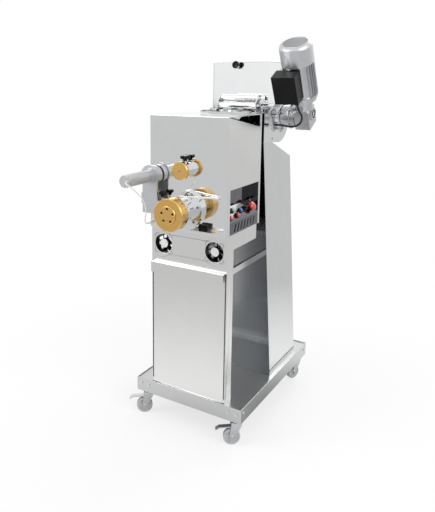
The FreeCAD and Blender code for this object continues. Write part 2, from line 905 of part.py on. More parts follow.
def slope_turn():
    degrees = math.degrees(math.atan2(recess_slope_rise.value, recess_depth.value))
    return Measure(degrees, f"atan({recess_slope_rise.formula} / {recess_depth.formula})")


def bezel(along, rise, flange, height):
    cap = taper((0, 0, 0), flange, flange - 1.5, height)
    sleeve = rod((0, 0, -10), stem_radius + 3, 10)
    nut = rod((0, 0, -10), stem_radius + 5, 5)
    bore = rod((0, 0, -11), stem_radius + running, height + 12)
    well = rod((0, 0, cap_lift - button_travel - gap), button_radius + gap, 4)
    return on_slope(group(less(union(cap, sleeve, nut), bore, well)), along, rise)


def push_button(name):
    along, rise, radius = button_spots[name]
    cap = taper((0, 0, cap_lift), radius, radius - 1, button_travel + 2.5)
    stem = rod((0, 0, -8), stem_radius, 14)
    return finish(name, on_slope(group(union(cap, stem)), along, rise))


def controls():
    bezels = []
    for name, (along, rise, radius) in button_spots.items():
        flange = measure(15) if name == "stop_button" else bezel_radius
        bezels.append(bezel(along, rise, flange, 4))
    finish("button_bezels", group(*bezels))
    for name in ("red_button_front", "red_button_rear", "green_button", "blue_button"):
        push_button(name)
    along, rise, radius = button_spots["selector_knob"]
    skirt = taper((0, 0, cap_lift), radius + 2, radius, 8)
    grip = block((-2.5, -radius - 1, 10), 5, 2 * radius + 2, 12)
    stem = rod((0, 0, -8), stem_radius, 14)
    finish("selector_knob", on_slope(group(union(skirt, grip, stem)), along, rise))
    along, rise, radius = button_spots["stop_button"]
    base_z = 6 + stop_travel
    mushroom = turned(
        (0, 0, 0),
        [
            (0, -8),
            (stem_radius, -8),
            (stem_radius, base_z),
            (stop_radius - 3, base_z),
            (stop_radius, base_z + 4),
            (stop_radius - 1, base_z + 9),
            (stop_radius - 6, base_z + 13),
            (0, base_z + 14),
        ],
    )
    finish("stop_button", on_slope(group(mushroom), along, rise))


# Extruder: barrel through the front panel, ring nut, die, auger and its drive
def barrel():
    y = head_y - barrel_reach
    neck = rod((0, y, bore_height), barrel_radius, barrel_reach + barrel_tail, "y")
    rear_flange = rod((0, head_y - flange_thickness, bore_height), flange_radius, flange_thickness, "y")
    bore = rod((0, y - 1, bore_height), barrel_bore, barrel_reach + barrel_tail + 2, "y")
    inlet = rod((0, inlet_y, bore_height + 5), 22, barrel_radius)
    bolt_holes = [
        rod((x, head_y - flange_thickness - 1, z), 4.5, flange_thickness + 2, "y")
        for x, z in flange_spots()
    ]
    body = less(union(neck, rear_flange), bore, inlet, *bolt_holes)
    finish("barrel", group(body, brace()))


inlet_y = head_y + 92


def flange_spots():
    spots = []
    for index in range(6):
        angle = math.radians(15 + 60 * index)
        spots.append((flange_bolt_circle * math.cos(angle), bore_height + flange_bolt_circle * math.sin(angle)))
    return spots


def brace():
    """Bent rod from the barrel's collar out to the panel on the right."""
    collar_z = bore_height + barrel_radius
    foot = rod((0, head_y - 58, collar_z - 3), 4, 15)
    span_x = measure(128)
    span_y = measure(50)
    length = root(span_x * span_x + span_y * span_y)
    reach = doc.addObject("Part::Cylinder", "Reach")
    reach.Radius = 4
    bind(reach, "Height", length)
    direction = V(span_x.value, span_y.value, 0)
    put(reach, (0, head_y - 58, collar_z + 10), FreeCAD.Rotation(V(0, 0, 1), direction))
    end = doc.addObject("Part::Sphere", "Elbow")
    end.Radius = 4
    put(end, (span_x, head_y - 58 + span_y, collar_z + 10))
    root_ball = doc.addObject("Part::Sphere", "Elbow")
    root_ball.Radius = 4
    put(root_ball, (0, head_y - 58, collar_z + 10))
    pad = rod((span_x, head_y - 8, collar_z + 10), 7, 8, "y")
    barrel_room = rod((0, head_y - 80, bore_height), barrel_radius, 60, "y")
    return less(union(foot, reach, end, root_ball, pad), barrel_room)


def ring_nut():
    length = ring_length
    profile = [
        (die_radius - 6 + gap, 0),
        (ring_radius - 3, 0),
        (ring_radius, 3),
        (ring_radius, length),
        (barrel_radius + gap, length),
        (barrel_radius + gap, ring_lip),
        (die_radius - 6 + gap, ring_lip),
    ]
    y = head_y - barrel_reach - die_step - ring_lip - gap
    nut = turned((0, y, bore_height), profile, "y")
    spanner_holes = [
        rod((0, 0, 0), 4, 12, "z") for index in range(4)
    ]
    for index, hole in enumerate(spanner_holes):
        angle = 45 + 90 * index
        outward = V(math.cos(math.radians(angle)), 0, math.sin(math.radians(angle)))
        radius = ring_radius - 8
        put(
            hole,
            (radius * outward.x, y + length - 14, bore_height + radius * outward.z),
            FreeCAD.Rotation(V(0, 0, 1), outward),
        )
    finish("ring_nut", less(nut, *spanner_holes))


die_step = measure(8)


def die():
    back = head_y - barrel_reach
    face = die_thickness - die_step
    profile = [
        (0, 0),
        (die_radius - 8, 0),
        (die_radius - 6, 2),
        (die_radius - 6, face - gap),
        (die_radius, face - gap),
        (die_radius, die_thickness - gap),
        (0, die_thickness - gap),
    ]
    y = back - die_thickness
    disc = turned((0, y, bore_height), profile, "y")
    holes = []
    for index in range(5):
        angle = math.radians(18 + 72 * index)
        x = die_hole_circle * math.cos(angle)
        z = bore_height + die_hole_circle * math.sin(angle)
        holes.append(rod((x, y - 1, z), die_hole_radius, die_thickness + 2, "y"))
    finish("die", less(disc, *holes))


def auger():
    start = head_y - barrel_reach + 6
    length = barrel_reach + barrel_tail - 6
    shaft = rod((0, start, bore_height), auger_core, length + 12, "y")
    nose = taper((0, start - 4, bore_height), 5, auger_core, 4, "y")
    flights = []
    count = 6
    for index in range(count):
        disc = rod((0, 0, 0), barrel_bore - gap - 1, 5, "z")
        y = start + 14 + auger_pitch * index
        tilt = FreeCAD.Rotation(V(1, 0, 0), -90 + 14)
        put(disc, (0, y, bore_height + 1), tilt)
        flights.append(disc)
    sleeve = rod((0, start - 10, bore_height), barrel_bore - gap, length + 40, "y")
    screw = doc.addObject("Part::Common", "Screw")
    screw.Base = union(shaft, nose, *flights)
    screw.Tool = sleeve
    finish("auger", screw)


def extruder_drive():
    """Gear case behind the barrel with its upright motor, inside the head."""
    half = drive_width / 2
    case_y = head_y + barrel_tail + gap
    depth = head_rear - case_y - 40
    case = block((-half, case_y, head_bottom + panel), drive_width, depth, 2 * (bore_height - head_bottom) - 2 * panel)
    motor_x_inside = measure(-74)
    motor_y = case_y + depth / 2
    case_top = head_bottom + panel + 2 * (bore_height - head_bottom) - 2 * panel
    shelf = block((-130, case_y, case_top - 14), 130, depth, 14)
    motor = rod((motor_x_inside, motor_y + 6, case_top - 1), drive_motor_radius, 200)
    cap = taper((motor_x_inside, motor_y + 6, case_top + 199), drive_motor_radius, drive_motor_radius - 8, 16)
    bore = rod((0, case_y - 1, bore_height), auger_core + running, 24, "y")
    finish("extruder_drive", less(union(case, shelf, motor, cap), bore))


# Clamping post with its brass plug, above the extruder
def star_knob(at, up=1):
    x, y, z = at
    lobes = []
    low = z if up > 0 else z - star_height
    core_z = low + 6 if up > 0 else low
    core = rod((x, y, core_z), star_radius - 5, star_height - 6)
    for index in range(5):
        angle = math.radians(72 * index + 18)
        lobe_x = x + (star_radius - 5) * math.cos(angle)
        lobe_y = y + (star_radius - 5) * math.sin(angle)
        lobes.append(rod((lobe_x, lobe_y, core_z), 5, star_height - 6))
    neck_z = low if up > 0 else low + star_height - 6
    neck = rod((x, y, neck_z), 6, 6)
    return union(core, neck, *lobes)


def post():
    y = head_y - post_reach
    middle = y + post_reach / 2 + 2
    sleeve = rod((0, y, post_height), post_radius, post_reach, "y")
    foot = rod((0, head_y - 5, post_height), post_radius + 4, 5, "y")
    bore = rod((0, y - 1, post_height), plug_stem + running, post_reach - 5, "y")
    boss = rod((0, middle, post_height + post_radius - 3), 9, 8)
    screw_room = rod((0, middle, post_height + 5), 4 + running, post_radius + 10)
    finish("post_sleeve", less(union(sleeve, foot, boss), bore, screw_room))
    profile = [
        (0, 0),
        (plug_radius - 2, 0),
        (plug_radius, 2),
        (plug_radius, plug_face),
        (plug_stem, plug_face),
        (plug_stem, plug_face + post_reach - 12),
        (0, plug_face + post_reach - 12),
    ]
    plug = turned((0, y - plug_face - gap, post_height), profile, "y")
    centre_hole = rod((0, y - plug_face - 1, post_height), 2.5, 12, "y")
    finish("post_plug", less(plug, centre_hole))
    knob_z = post_height + post_radius + 5 + gap
    shank = rod((0, middle, post_height + plug_stem + 1), 4, knob_z - post_height - plug_stem + 4)
    finish("post_knob", union(star_knob((0, middle, knob_z)), shank))


plug_stem = measure(15)


# Cutter: motor tube on an arm that swings out on a pin at the panel's left edge
arm_low = cutter_height - cutter_plate_foot
knuckle_height = measure(26)
hinge_y = head_y - 17


def cutter():
    pin_low = arm_low + 8
    pin_high = cutter_height - cutter_hood_radius
    knuckle = hinge_knuckle
    leaf_x = hinge_x + knuckle + gap
    leaf = block((leaf_x, head_y - 5, pin_low), 34, 5, pin_high - pin_low)
    supports = []
    for z in (pin_low, pin_high - knuckle_height):
        web = block((hinge_x, head_y - 8, z), leaf_x - hinge_x + 4, 3, knuckle_height)
        web_up = block((hinge_x - knuckle, hinge_y, z), 2 * knuckle, head_y - 5 - hinge_y, knuckle_height)
        supports.append(web)
        supports.append(web_up)
        supports.append(rod((hinge_x, hinge_y, z), knuckle, knuckle_height))
    pin = rod((hinge_x, hinge_y, pin_low - 3), hinge_pin_radius, pin_high - pin_low + 6)
    room = rod((hinge_x, hinge_y, pin_low - 4), hinge_pin_radius, pin_high - pin_low + 8)
    finish("cutter_bracket", group(less(union(leaf, *supports), room), pin))

    plate_y = head_y - cutter_plate_y
    half = cutter_plate_width / 2
    tomb = block((cutter_x - half, plate_y - 6, arm_low), cutter_plate_width, 6, cutter_plate_foot)
    arch = rod((cutter_x, plate_y - 6, cutter_height), cutter_hood_radius, 6, "y")
    hood = rod((cutter_x, plate_y, cutter_height), cutter_hood_radius - 4, cutter_plate_y - 6, "y")
    tube_hole = rod((cutter_x, plate_y - 7, cutter_height), cutter_tube_radius + gap / 2, 24, "y")
    middle_low = pin_low + knuckle_height + gap
    middle_height = pin_high - knuckle_height - gap - middle_low
    knuckle_rod = rod((hinge_x, hinge_y, middle_low), knuckle, middle_height)
    web = block((hinge_x - knuckle, plate_y - 3, middle_low), knuckle, hinge_y - plate_y + 3, middle_height)
    clamp_x = cutter_x + half + star_radius - 1
    clamp_y = plate_y + 8
    clamp_z = cutter_height - cutter_plate_foot + 36
    clamp = block((cutter_x + half - 1, plate_y - 6, clamp_z), star_radius + 12, 28, 14)
    pin_bore = rod((hinge_x, hinge_y, middle_low - 1), hinge_pin_radius + running, middle_height + 2)
    shank_room = rod((clamp_x, clamp_y, clamp_z - 1), 4 + running, 20)
    arm = less(union(tomb, arch, hood, knuckle_rod, web, clamp), tube_hole, pin_bore, shank_room)
    finish("cutter_arm", arm)

    tube_y = plate_y - cutter_tube_length
    motor = rod((cutter_x, tube_y, cutter_height), cutter_tube_radius, cutter_tube_length + 14, "y")
    cap = rod((cutter_x, tube_y - 4, cutter_height), cutter_tube_radius - 1, 4, "y")
    collar = tube((cutter_x, plate_y - 6 - 12, cutter_height), cutter_tube_radius + 6, cutter_tube_radius, 12, "y")
    finish("cutter_motor", group(union(motor, cap), collar))
    sleeve = rod((clamp_x, clamp_y, clamp_z + 14 + gap), 7, 16)
    knob = star_knob((clamp_x, clamp_y, clamp_z + 29))
    shank = rod((clamp_x, clamp_y, clamp_z), 4, 34)
    finish("cutter_knob", union(knob, sleeve, shank))


# Lead of the cutter motor: runs and tangent arcs from the tube's end to the plug on the panel
def lead_route():
    x = cutter_x.value
    y = head_y.value - cutter_plate_y.value - cutter_tube_length.value - 4
    z = cutter_height.value
    return [
        V(x + 12, y, z + 2),
        V(x + 12, y - 20, z + 2),
        V(x + 48, y - 22, z - 14),
        V(x + 62, y + 4, z - 42),
        V(x + 59, y + 34, z - 68),
        V(x + 47, y + 62, z - 98),
        V(x + 29, y + 90, z - 127),
        V(x + 6, y + 116, z - 155),
        V(x - 12, y + 142, z - 178),
        V(x - 16, y + 162, z - 187),
        V(x - 16, y + 180, z - 187),
    ]


def routed_wire(points):
    """Straight runs joined by tangent arcs, each arc as large as its runs allow."""
    edges = []
    here = points[0]
    for index in range(1, len(points) - 1):
        before, corner, after = points[index - 1], points[index], points[index + 1]
        into = corner - before
        out = after - corner
        shorter = min(into.Length, out.Length)
        turn = into.getAngle(out)
        cut_back = 0.45 * shorter
        radius = cut_back / math.tan(turn / 2)
        into.normalize()
        out.normalize()
        start = corner - into * cut_back
        end = corner + out * cut_back
        inward = out - into
        inward.normalize()
        centre_distance = radius / math.cos(turn / 2)
        middle = corner + inward * (centre_distance - radius)
        print("lead bend radius mm", round(radius, 1))
        edges.append(Part.LineSegment(here, start).toShape())
        edges.append(Part.Arc(start, middle, end).toShape())
        here = end
    edges.append(Part.LineSegment(here, points[-1]).toShape())
    return Part.Wire(edges)


def swept(name, points, radius):
    wire = routed_wire(points)
    direction = points[1] - points[0]
    circle = Part.Wire(Part.makeCircle(radius.value, points[0], direction))
    shape = wire.makePipeShell([circle], True, False)
    feature = doc.addObject("Part::Feature", name)
    feature.Shape = shape
    expected = math.pi * radius.value**2 * wire.Length
    print(name, "length mm", round(wire.Length, 1), "volume ratio", round(shape.Volume / expected, 4))
    return feature


def cutter_lead():
    points = lead_route()
    finish("cutter_cable", swept("CutterCable", points, cable_radius))
    end = points[-1]
    nose = taper((end.x, end.y, end.z), cable_radius + 1.5, 6, 8, "y")
    plug = rod((end.x, end.y + 8, end.z), 6, head_y.value - end.y - 8, "y")
    finish("cable_plug", union(nose, plug))


# Shelf below the extruder with the safety switch
def safety_shelf():
    z = bore_height - flange_radius - 1
    radius = measure(19)
    length = measure(88)
    start = measure(34)
    tongue = block((start, head_y - 2 * radius, z), length, 2 * radius, plate)
    nose = rod((start + length, head_y - radius, z), radius, plate)
    tail = block((start, head_y - plate, z), length, plate, 8)
    finish("guard_shelf", union(tongue, nose, tail))
    body = block((start + 26, head_y - plate - 16, z + plate), 36, 16, 20)
    roller = rod((start + 30, head_y - plate - 22, z + plate + 10), 4, 12, "y")
    lever = block((start + 30, head_y - plate - 22, z + plate + 8), 26, 2, 4)
    finish("safety_switch", union(body, roller, lever))


# Mixing tub, its gate, lid, shaft, feed rollers and the collar over the throat
def tub():
    left = tub_left
    right = tub_right
    width = right - left
    end_wall = plate
    def trough(inset, extra):
        low = rod((left + extra, axis_y, tub_axis_z), tub_radius - inset, width - 2 * extra, "x")
        high = block(
            (left + extra, axis_y - tub_radius + inset, tub_axis_z),
            width - 2 * extra,
            2 * (tub_radius - inset),
            tub_top - tub_axis_z + inset,
        )
        return union(low, high)
    shell = less(trough(0, 0), trough(tub_wall, end_wall))
    neck_y = tower_y
    neck_depth = axis_y - tub_radius - neck_y + tub_wall
    neck_outer = block((left, neck_y, tower_top), width, neck_depth, gate_bottom - tower_top - 2)
    neck_hollow = block(
        (left + panel, neck_y + panel, tower_top - 1),
        width - 2 * panel,
        neck_depth,
        gate_bottom - tower_top - 2 - panel + 1,
    )
    neck = less(neck_outer, neck_hollow)
    saddle_outline = [
        (axis_y - tub_radius + 1, tower_top),
        (neck_y + tower_shelf, tower_top),
        (neck_y + tower_shelf, tub_axis_z - tub_radius * 0.6),
        (axis_y - tub_radius + 1, tub_axis_z - 20),
    ]
    webs = [side_profile(start, saddle_outline, plate) for start in (left, right - plate)]
    bore_cut = rod((left - 1, axis_y, tub_axis_z), tub_radius - tub_wall, width + 2, "x")
    gussets = less(union(*webs), bore_cut)
    bearing = rod((left - 16, axis_y, tub_axis_z), 30, 16 + end_wall, "x")
    right_boss = rod((right - end_wall, axis_y, tub_axis_z), 34, 12 + end_wall, "x")
    shaft_hole = rod((left - 17, axis_y, tub_axis_z), shaft_radius + running, width + 40, "x")
    outlet = block(
        (left + 40, axis_y - tub_radius - 30, gate_bottom + 8), width - 80, 60, outlet_height
    )
    guides = []
    guide_depth = gate_stand_off + 2
    guide_y = axis_y - tub_radius - guide_depth
    for start in (left - 1, right - 3):
        guides.append(block((start, guide_y, gate_bottom - 2), 4, guide_depth + 1, tub_top - gate_bottom + 2))
    sheet_room = block((left + 2, gate_y - gap, gate_bottom - 3), width - 4, panel + 2 * gap, tub_top)
    body = union(shell, neck, gussets, bearing, right_boss, *guides)
    finish("tub", union(less(body, shaft_hole, outlet, sheet_room), *lid_hinge()))


gate_y = axis_y - tub_radius - gate_stand_off


def tub_gate():
    left = tub_left + 2 + gap
    width = tub_right - tub_left - 4 - 2 * gap
    leaf = block((left, gate_y, gate_bottom - gap), width, panel, tub_top - gate_bottom)
    knob_x = measure(27)
    knob_z = tub_top - 12
    stem = taper((knob_x, gate_y, knob_z), 7, 4, 14, "front")
    knob = rod((knob_x, gate_y - 14, knob_z), 14, 10, "front")
    finish("tub_gate", group(union(leaf, stem), knob))


def tub_lid():
    width = tub_right - tub_left
    depth = 2 * tub_radius
    overhang = measure(8)
    z = tub_top + gap
    y = axis_y - tub_radius
    top = block((tub_left - overhang, y + 4, z), width + 2 * overhang, depth + 4, panel)
    slots = []
    for index in range(9):
        slots.append(block((tub_left + 28 + 21 * index, y + 36, z - 1), 9, depth - 72, panel + 2))
    hinge = rod((tub_left + 20, lid_pin_y, lid_pin_z), 8.5, width - 40, "x")
    strap = block((tub_left + 20, y + depth, z), width - 40, lid_pin_y - y - depth, panel)
    pin_bore = rod((tub_left, lid_pin_y, lid_pin_z), 3 + running, width, "x")
    finish("tub_lid", less(union(less(top, *slots), hinge, strap), pin_bore))


lid_pin_y = axis_y + tub_radius + 10
lid_pin_z = tub_top - 7


def lid_hinge():
    """Two ears behind the tub's rear wall, and the pin between them."""
    reach = lid_pin_y - axis_y - tub_radius
    pieces = [rod((tub_left + 6, lid_pin_y, lid_pin_z), 3, tub_right - tub_left - 12, "x")]
    for start in (tub_left + 6, tub_right - 6 - 12):
        pieces.append(rod((start, lid_pin_y, lid_pin_z), 6, 12, "x"))
        pieces.append(block((start, axis_y + tub_radius - 1, lid_pin_z - 6), 12, reach + 1, 6))
    return pieces


def mixer_shaft():
    start = tub_left - 14
    length = motor_x - start
    shaft = rod((start, axis_y, tub_axis_z), shaft_radius, length, "x")
    blades = []
    inner_width = tub_right - tub_left - 2 * plate
    for index in range(4):
        x = tub_left + plate + inner_width * (index + 0.5) / 4
        angle = 90 * index + 20
        direction = V(0, math.sin(math.radians(angle)), math.cos(math.radians(angle)))
        arm = doc.addObject("Part::Cylinder", "Arm")
        arm.Radius = 6
        bind(arm, "Height", tub_radius - tub_wall - 16)
        turn = FreeCAD.Rotation(V(1, 0, 0), -angle)
        put(arm, (x, axis_y, tub_axis_z), turn)
        reach = tub_radius - tub_wall - 26
        paddle = doc.addObject("Part::Box", "Paddle")
        paddle.Length = 40
        paddle.Width = 6
        paddle.Height = 20
        corner = turn.multVec(V(-20, -3, 0))
        put(
            paddle,
            (x + corner.x, axis_y + corner.y + reach * direction.y, tub_axis_z + corner.z + reach * direction.z),
            turn,
        )
        blades.append(arm)
        blades.append(paddle)
    finish("mixer_shaft", union(shaft, *blades))


roller_left = measure(-3)
upper_roller_y = front + upper_roller_back
upper_roller_z = head_top + upper_roller_rise
lower_roller_y = front + lower_roller_back
lower_roller_z = head_top + lower_roller_rise
bracket_thickness = measure(5)


def feed_roller(name, y, z, crank):
    barrel_part = rod((roller_left, y, z), roller_radius, roller_length, "x")
    journal_left = rod((roller_left - gap - bracket_thickness - 3, y, z), 5, bracket_thickness + 5, "x")
    right = roller_left + roller_length
    journal_right = rod((right - 1, y, z), 5, bracket_thickness + 6 + crank, "x")
    pieces = [barrel_part, journal_left, journal_right]
    if crank:
        pieces.append(rod((right + bracket_thickness + crank - 4, y, z), 9, 14, "x"))
    finish(name, union(*pieces))


def feed_frame():
    """Collar over the throat, its funnel to the barrel, and the roller brackets."""
    base_z = head_top + gap
    collar = tube((feed_x, feed_y, base_z), collar_radius, throat_radius - 2, 3)
    rim = tube((feed_x, feed_y, base_z), collar_radius, collar_radius - 3, collar_height)
    sleeve = rod((feed_x, feed_y, base_z - throat_neck), throat_radius, throat_neck + 3)
    circles = []
    for wall in (measure(0), measure(2)):
        top = doc.addObject("Part::Circle", "Mouth")
        bind(top, "Radius", throat_radius - wall)
        put(top, (feed_x, feed_y, base_z - throat_neck))
        low = doc.addObject("Part::Circle", "Spout")
        bind(low, "Radius", spout_radius - wall)
        put(low, (0, inlet_y, bore_height + barrel_radius + 2))
        circles.append((top, low))
    lofts = []
    for top, low in circles:
        cone = doc.addObject("Part::Loft", "Cone")
        cone.Sections = [low, top]
        cone.Solid = True
        cone.Ruled = True
        lofts.append(cone)
    spout = less(lofts[0], lofts[1])
    bracket_y = lower_roller_y - 20
    bracket_depth = measure(44)
    outline = [
        (bracket_y, base_z),
        (bracket_y + bracket_depth, base_z),
        (bracket_y + bracket_depth, upper_roller_z + 10),
        (bracket_y + 24, upper_roller_z + 10),
        (bracket_y, lower_roller_z + 8),
    ]
    left = side_profile(roller_left - gap - bracket_thickness, outline, bracket_thickness)
    right = side_profile(roller_left + roller_length + gap, outline, bracket_thickness)
    left_foot = block((roller_left - 46, bracket_y, base_z), 46, bracket_depth, 3)
    gusset_outline = [(0, base_z), (0, upper_roller_z - 6), (-40, base_z + 6), (-40, base_z)]
    upright = FreeCAD.Rotation(V(1, 0, 0), 0)
    gusset = padded((roller_left - gap - bracket_thickness, bracket_y + bracket_depth, 0), gusset_outline, 3, "XZ_Plane", upright)
    foot_x = roller_left + roller_length + gap - 30
    right_foot = block((foot_x, bracket_y, base_z), 30 + bracket_thickness, bracket_depth, 3)
    journals = []
    for y, z in ((upper_roller_y, upper_roller_z), (lower_roller_y, lower_roller_z)):
        journals.append(rod((roller_left - 20, y, z), 5 + running, roller_length + 40, "x"))
    body = union(collar, rim, sleeve, left, right, left_foot, right_foot, gusset)
    mouth = rod((feed_x, feed_y, base_z - throat_neck - 1), throat_radius - 2, throat_neck + 5)
    finish("feed_frame", union(less(body, mouth, *journals), spout))


# Gearmotor of the mixer, drawn upright about the mixer axis and then leaned forward
def gearbox():
    start = tub_right + 12
    plate_half = gear_plate_side / 2
    square = block((start, -plate_half, -plate_half), 8, gear_plate_side, gear_plate_side)
    drum = rod((start + 8, 0, 0), gear_drum_radius, 30, "x")
    ring = rod((start + 38, 0, 0), gear_drum_radius + 4, 6, "x")
    barrel_part = rod((start + 44, 0, 0), gear_drum_radius - 4, 24, "x")
    ribs = [rod((start + 50 + 6 * index, 0, 0), gear_drum_radius - 1, 3, "x") for index in range(3)]
    case_x = motor_x - 34
    case = block((case_x, -worm_half, -worm_half), 60, 2 * worm_half, 2 * worm_half)
    cover = rod((case_x + 58, 2, 14), 26, 9, "x")
    foot = rod((motor_x, 0, worm_half - 2), 34, motor_foot - worm_half - 10)
    seat = rod((motor_x, 0, motor_foot - 12), 52, 12)
    bore = rod((start - 1, 0, 0), shaft_radius + running, motor_x - start + 6, "x")
    bolts = []
    for across in (-1, 1):
        for up in (-1, 1):
            spot = plate_half - 9
            bolts.append(rod((tub_right, across * spot, up * spot), 5, start - tub_right + 14, "x"))
    body = less(union(square, drum, ring, barrel_part, case, cover, foot, seat, *ribs), bore)
    finish("gearbox", at_tub_axis(group(union(body, *bolts))))


def motor():
    stator = rod((motor_x, 0, motor_foot), motor_radius - 2, motor_stator)
    low_shield = rod((motor_x, 0, motor_foot), motor_radius + 3, 12)
    fins = []
    for index in range(int(fin_count.value)):
        angle = 360.0 * index / fin_count.value
        toward = math.radians(angle)
        if -0.6 < math.cos(toward + math.pi / 2) - 0.0 and math.sin(toward) < -0.62:
            continue
        fin = doc.addObject("Part::Box", "Fin")
        bind(fin, "Length", fin_reach + 6)
        fin.Width = 2.4
        bind(fin, "Height", motor_stator - 24)
        radius = motor_radius - 6
        shift = V(math.cos(toward), math.sin(toward), 0)
        side = V(math.sin(toward) * 1.2, -math.cos(toward) * 1.2, 0)
        put(
            fin,
            (motor_x + radius * shift.x + side.x, radius * shift.y + side.y, motor_foot + 8),
            FreeCAD.Rotation(V(0, 0, 1), angle),
        )
        fins.append(fin)
    seat_width = terminal_width - 12
    seat = block(
        (motor_x - 18 - seat_width / 2, -motor_radius - 4, terminal_low + 6), seat_width, 30, terminal_length - 12
    )
    finish("motor_body", at_tub_axis(group(union(stator, low_shield, seat, *fins))))
    cowl_low = motor_foot + motor_stator
    profile = [
        (motor_radius - 20, 0),
        (cowl_radius - 3, 0),
        (cowl_radius - 3, -14),
        (cowl_radius, -14),
        (cowl_radius, cowl_length - 14),
        (cowl_radius - 4, cowl_length - 5),
        (cowl_radius - 12, cowl_length),
        (0, cowl_length),
        (0, cowl_length - 3),
        (cowl_radius - 14, cowl_length - 3),
        (cowl_radius - 3, cowl_length - 14),
        (cowl_radius - 3, 3),
        (motor_radius - 20, 3),
    ]
    cowl = turned((motor_x, 0, cowl_low), profile)
    slots = []
    for index in range(-4, 5):
        reach = math.sqrt(46.0**2 - (9.0 * index) ** 2)
        slots.append(
            block(
                (motor_x - reach, 9 * index - 2.2, cowl_low + cowl_length - 6), 2 * reach, 4.4, 12
            )
        )
    finish("motor_cowl", at_tub_axis(group(less(cowl, *slots))))
    box_front = -motor_radius - 4 - terminal_depth
    box = block(
        (motor_x - 18 - terminal_width / 2, box_front, terminal_low), terminal_width, terminal_depth - gap, terminal_length
    )
    gland = rod((lead_x, box_front + 26, terminal_low - 12), 9, 13)
    finish("terminal_box", at_tub_axis(group(union(box, gland))))


terminal_low = motor_foot + 30
lead_x = motor_x - 18 + terminal_width / 2 - 16


def motor_lead():
    """Lead from the terminal box, looping down beside the gears to the tub's wall."""
    lean = FreeCAD.Rotation(V(1, 0, 0), motor_lean.value)
    centre = V(0, axis_y.value, tub_axis_z.value)
    box_front = -motor_radius.value - 4 - terminal_depth.value

    def place(x, y, z):
        return centre + lean.multVec(V(x, y, z))

    x = lead_x.value
    y = box_front + 26
    z = terminal_low.value - 12
    wall_x = tub_right.value
    points = [
        place(x, y, z),
        place(x, y, z - 22),
        place(x + 16, y - 4, z - 52),
        place(x + 2, y - 8, z - 86),
        place(x - 36, y - 4, z - 100),
        place(x - 76, y + 2, z - 96),
        V(wall_x + 34, place(0, y + 8, 0).y - 6, place(0, y, z - 96).z),
        V(wall_x + 12, place(0, y + 8, 0).y - 6, place(0, y, z - 96).z),
    ]
    finish("motor_cable", swept("MotorCable", points, lead_radius))


def fasteners():
    bolts = []
    for x, z in flange_spots():
        y = head_y - flange_thickness
        head = rod((x, y - 6, z), 6.5, 6, "y")
        shank = rod((x, y - 1, z), 4.2, flange_thickness + 1, "y")
        bolts.append(union(head, shank))
    screws = []
    for x, z in fan_corners():
        head = rod((x, column_y - 2, z), screw_head_radius, 2, "y")
        shank = rod((x, column_y - 1, z), screw_radius, panel + fan_depth, "y")
        screws.append(union(head, shank))
    for side in (-1, 1):
        for along in (castor_inset - 10, base_depth - castor_inset + 10):
            start = base_width / 2 if side > 0 else -base_width / 2 - 3
            screws.append(rod((start, front + along, rail_bottom + 34), 6.5, 3, "x"))
        for across in (20, 56):
            screws.append(
                rod((side * (base_width / 2 - across), front - 3, rail_bottom + 34), 6.5, 3, "y")
            )
    finish("fasteners", group(*bolts, *screws))


base_frame()
castors()
front_column()
front_door()
fans()
rear_tower()
tie_bars()
head_shell()
head_side()
console()
controls()
barrel()
ring_nut()
die()
auger()
extruder_drive()
post()
cutter()
cutter_lead()
safety_shelf()
tub()
tub_gate()
tub_lid()
mixer_shaft()
feed_roller("feed_roller_upper", upper_roller_y, upper_roller_z, 12)
feed_roller("feed_roller_lower", lower_roller_y, lower_roller_z, 0)
feed_frame()
gearbox()
motor()
motor_lead()
fasteners()

doc.recompute()

faults = [item.Name for item in doc.Objects if "Invalid" in item.State or "Error" in item.State]
if faults:
    raise RuntimeError(f"these features failed: {faults}")
for label, feature in made.items():
    shape = feature.Shape
    if shape.isNull() or not shape.isValid() or not shape.Solids:
        raise RuntimeError(f"{label} has no valid solid")
if made["feed_frame"].Shape.BoundBox.ZMin > (bore_height + barrel_radius).value + 10:
    raise RuntimeError("the funnel is missing from feed_frame")
os.makedirs("parts", exist_ok=True)
for label, feature in made.items():
    feature.Shape.exportStep(f"parts/{label}.step")
print(len(made), "parts written")
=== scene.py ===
"""Looks of the floor-standing electric pasta maker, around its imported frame."""

import json
import logging
import math
from dataclasses import dataclass, field
from enum import Enum

import bmesh
import bpy
from mathutils import Matrix, Vector

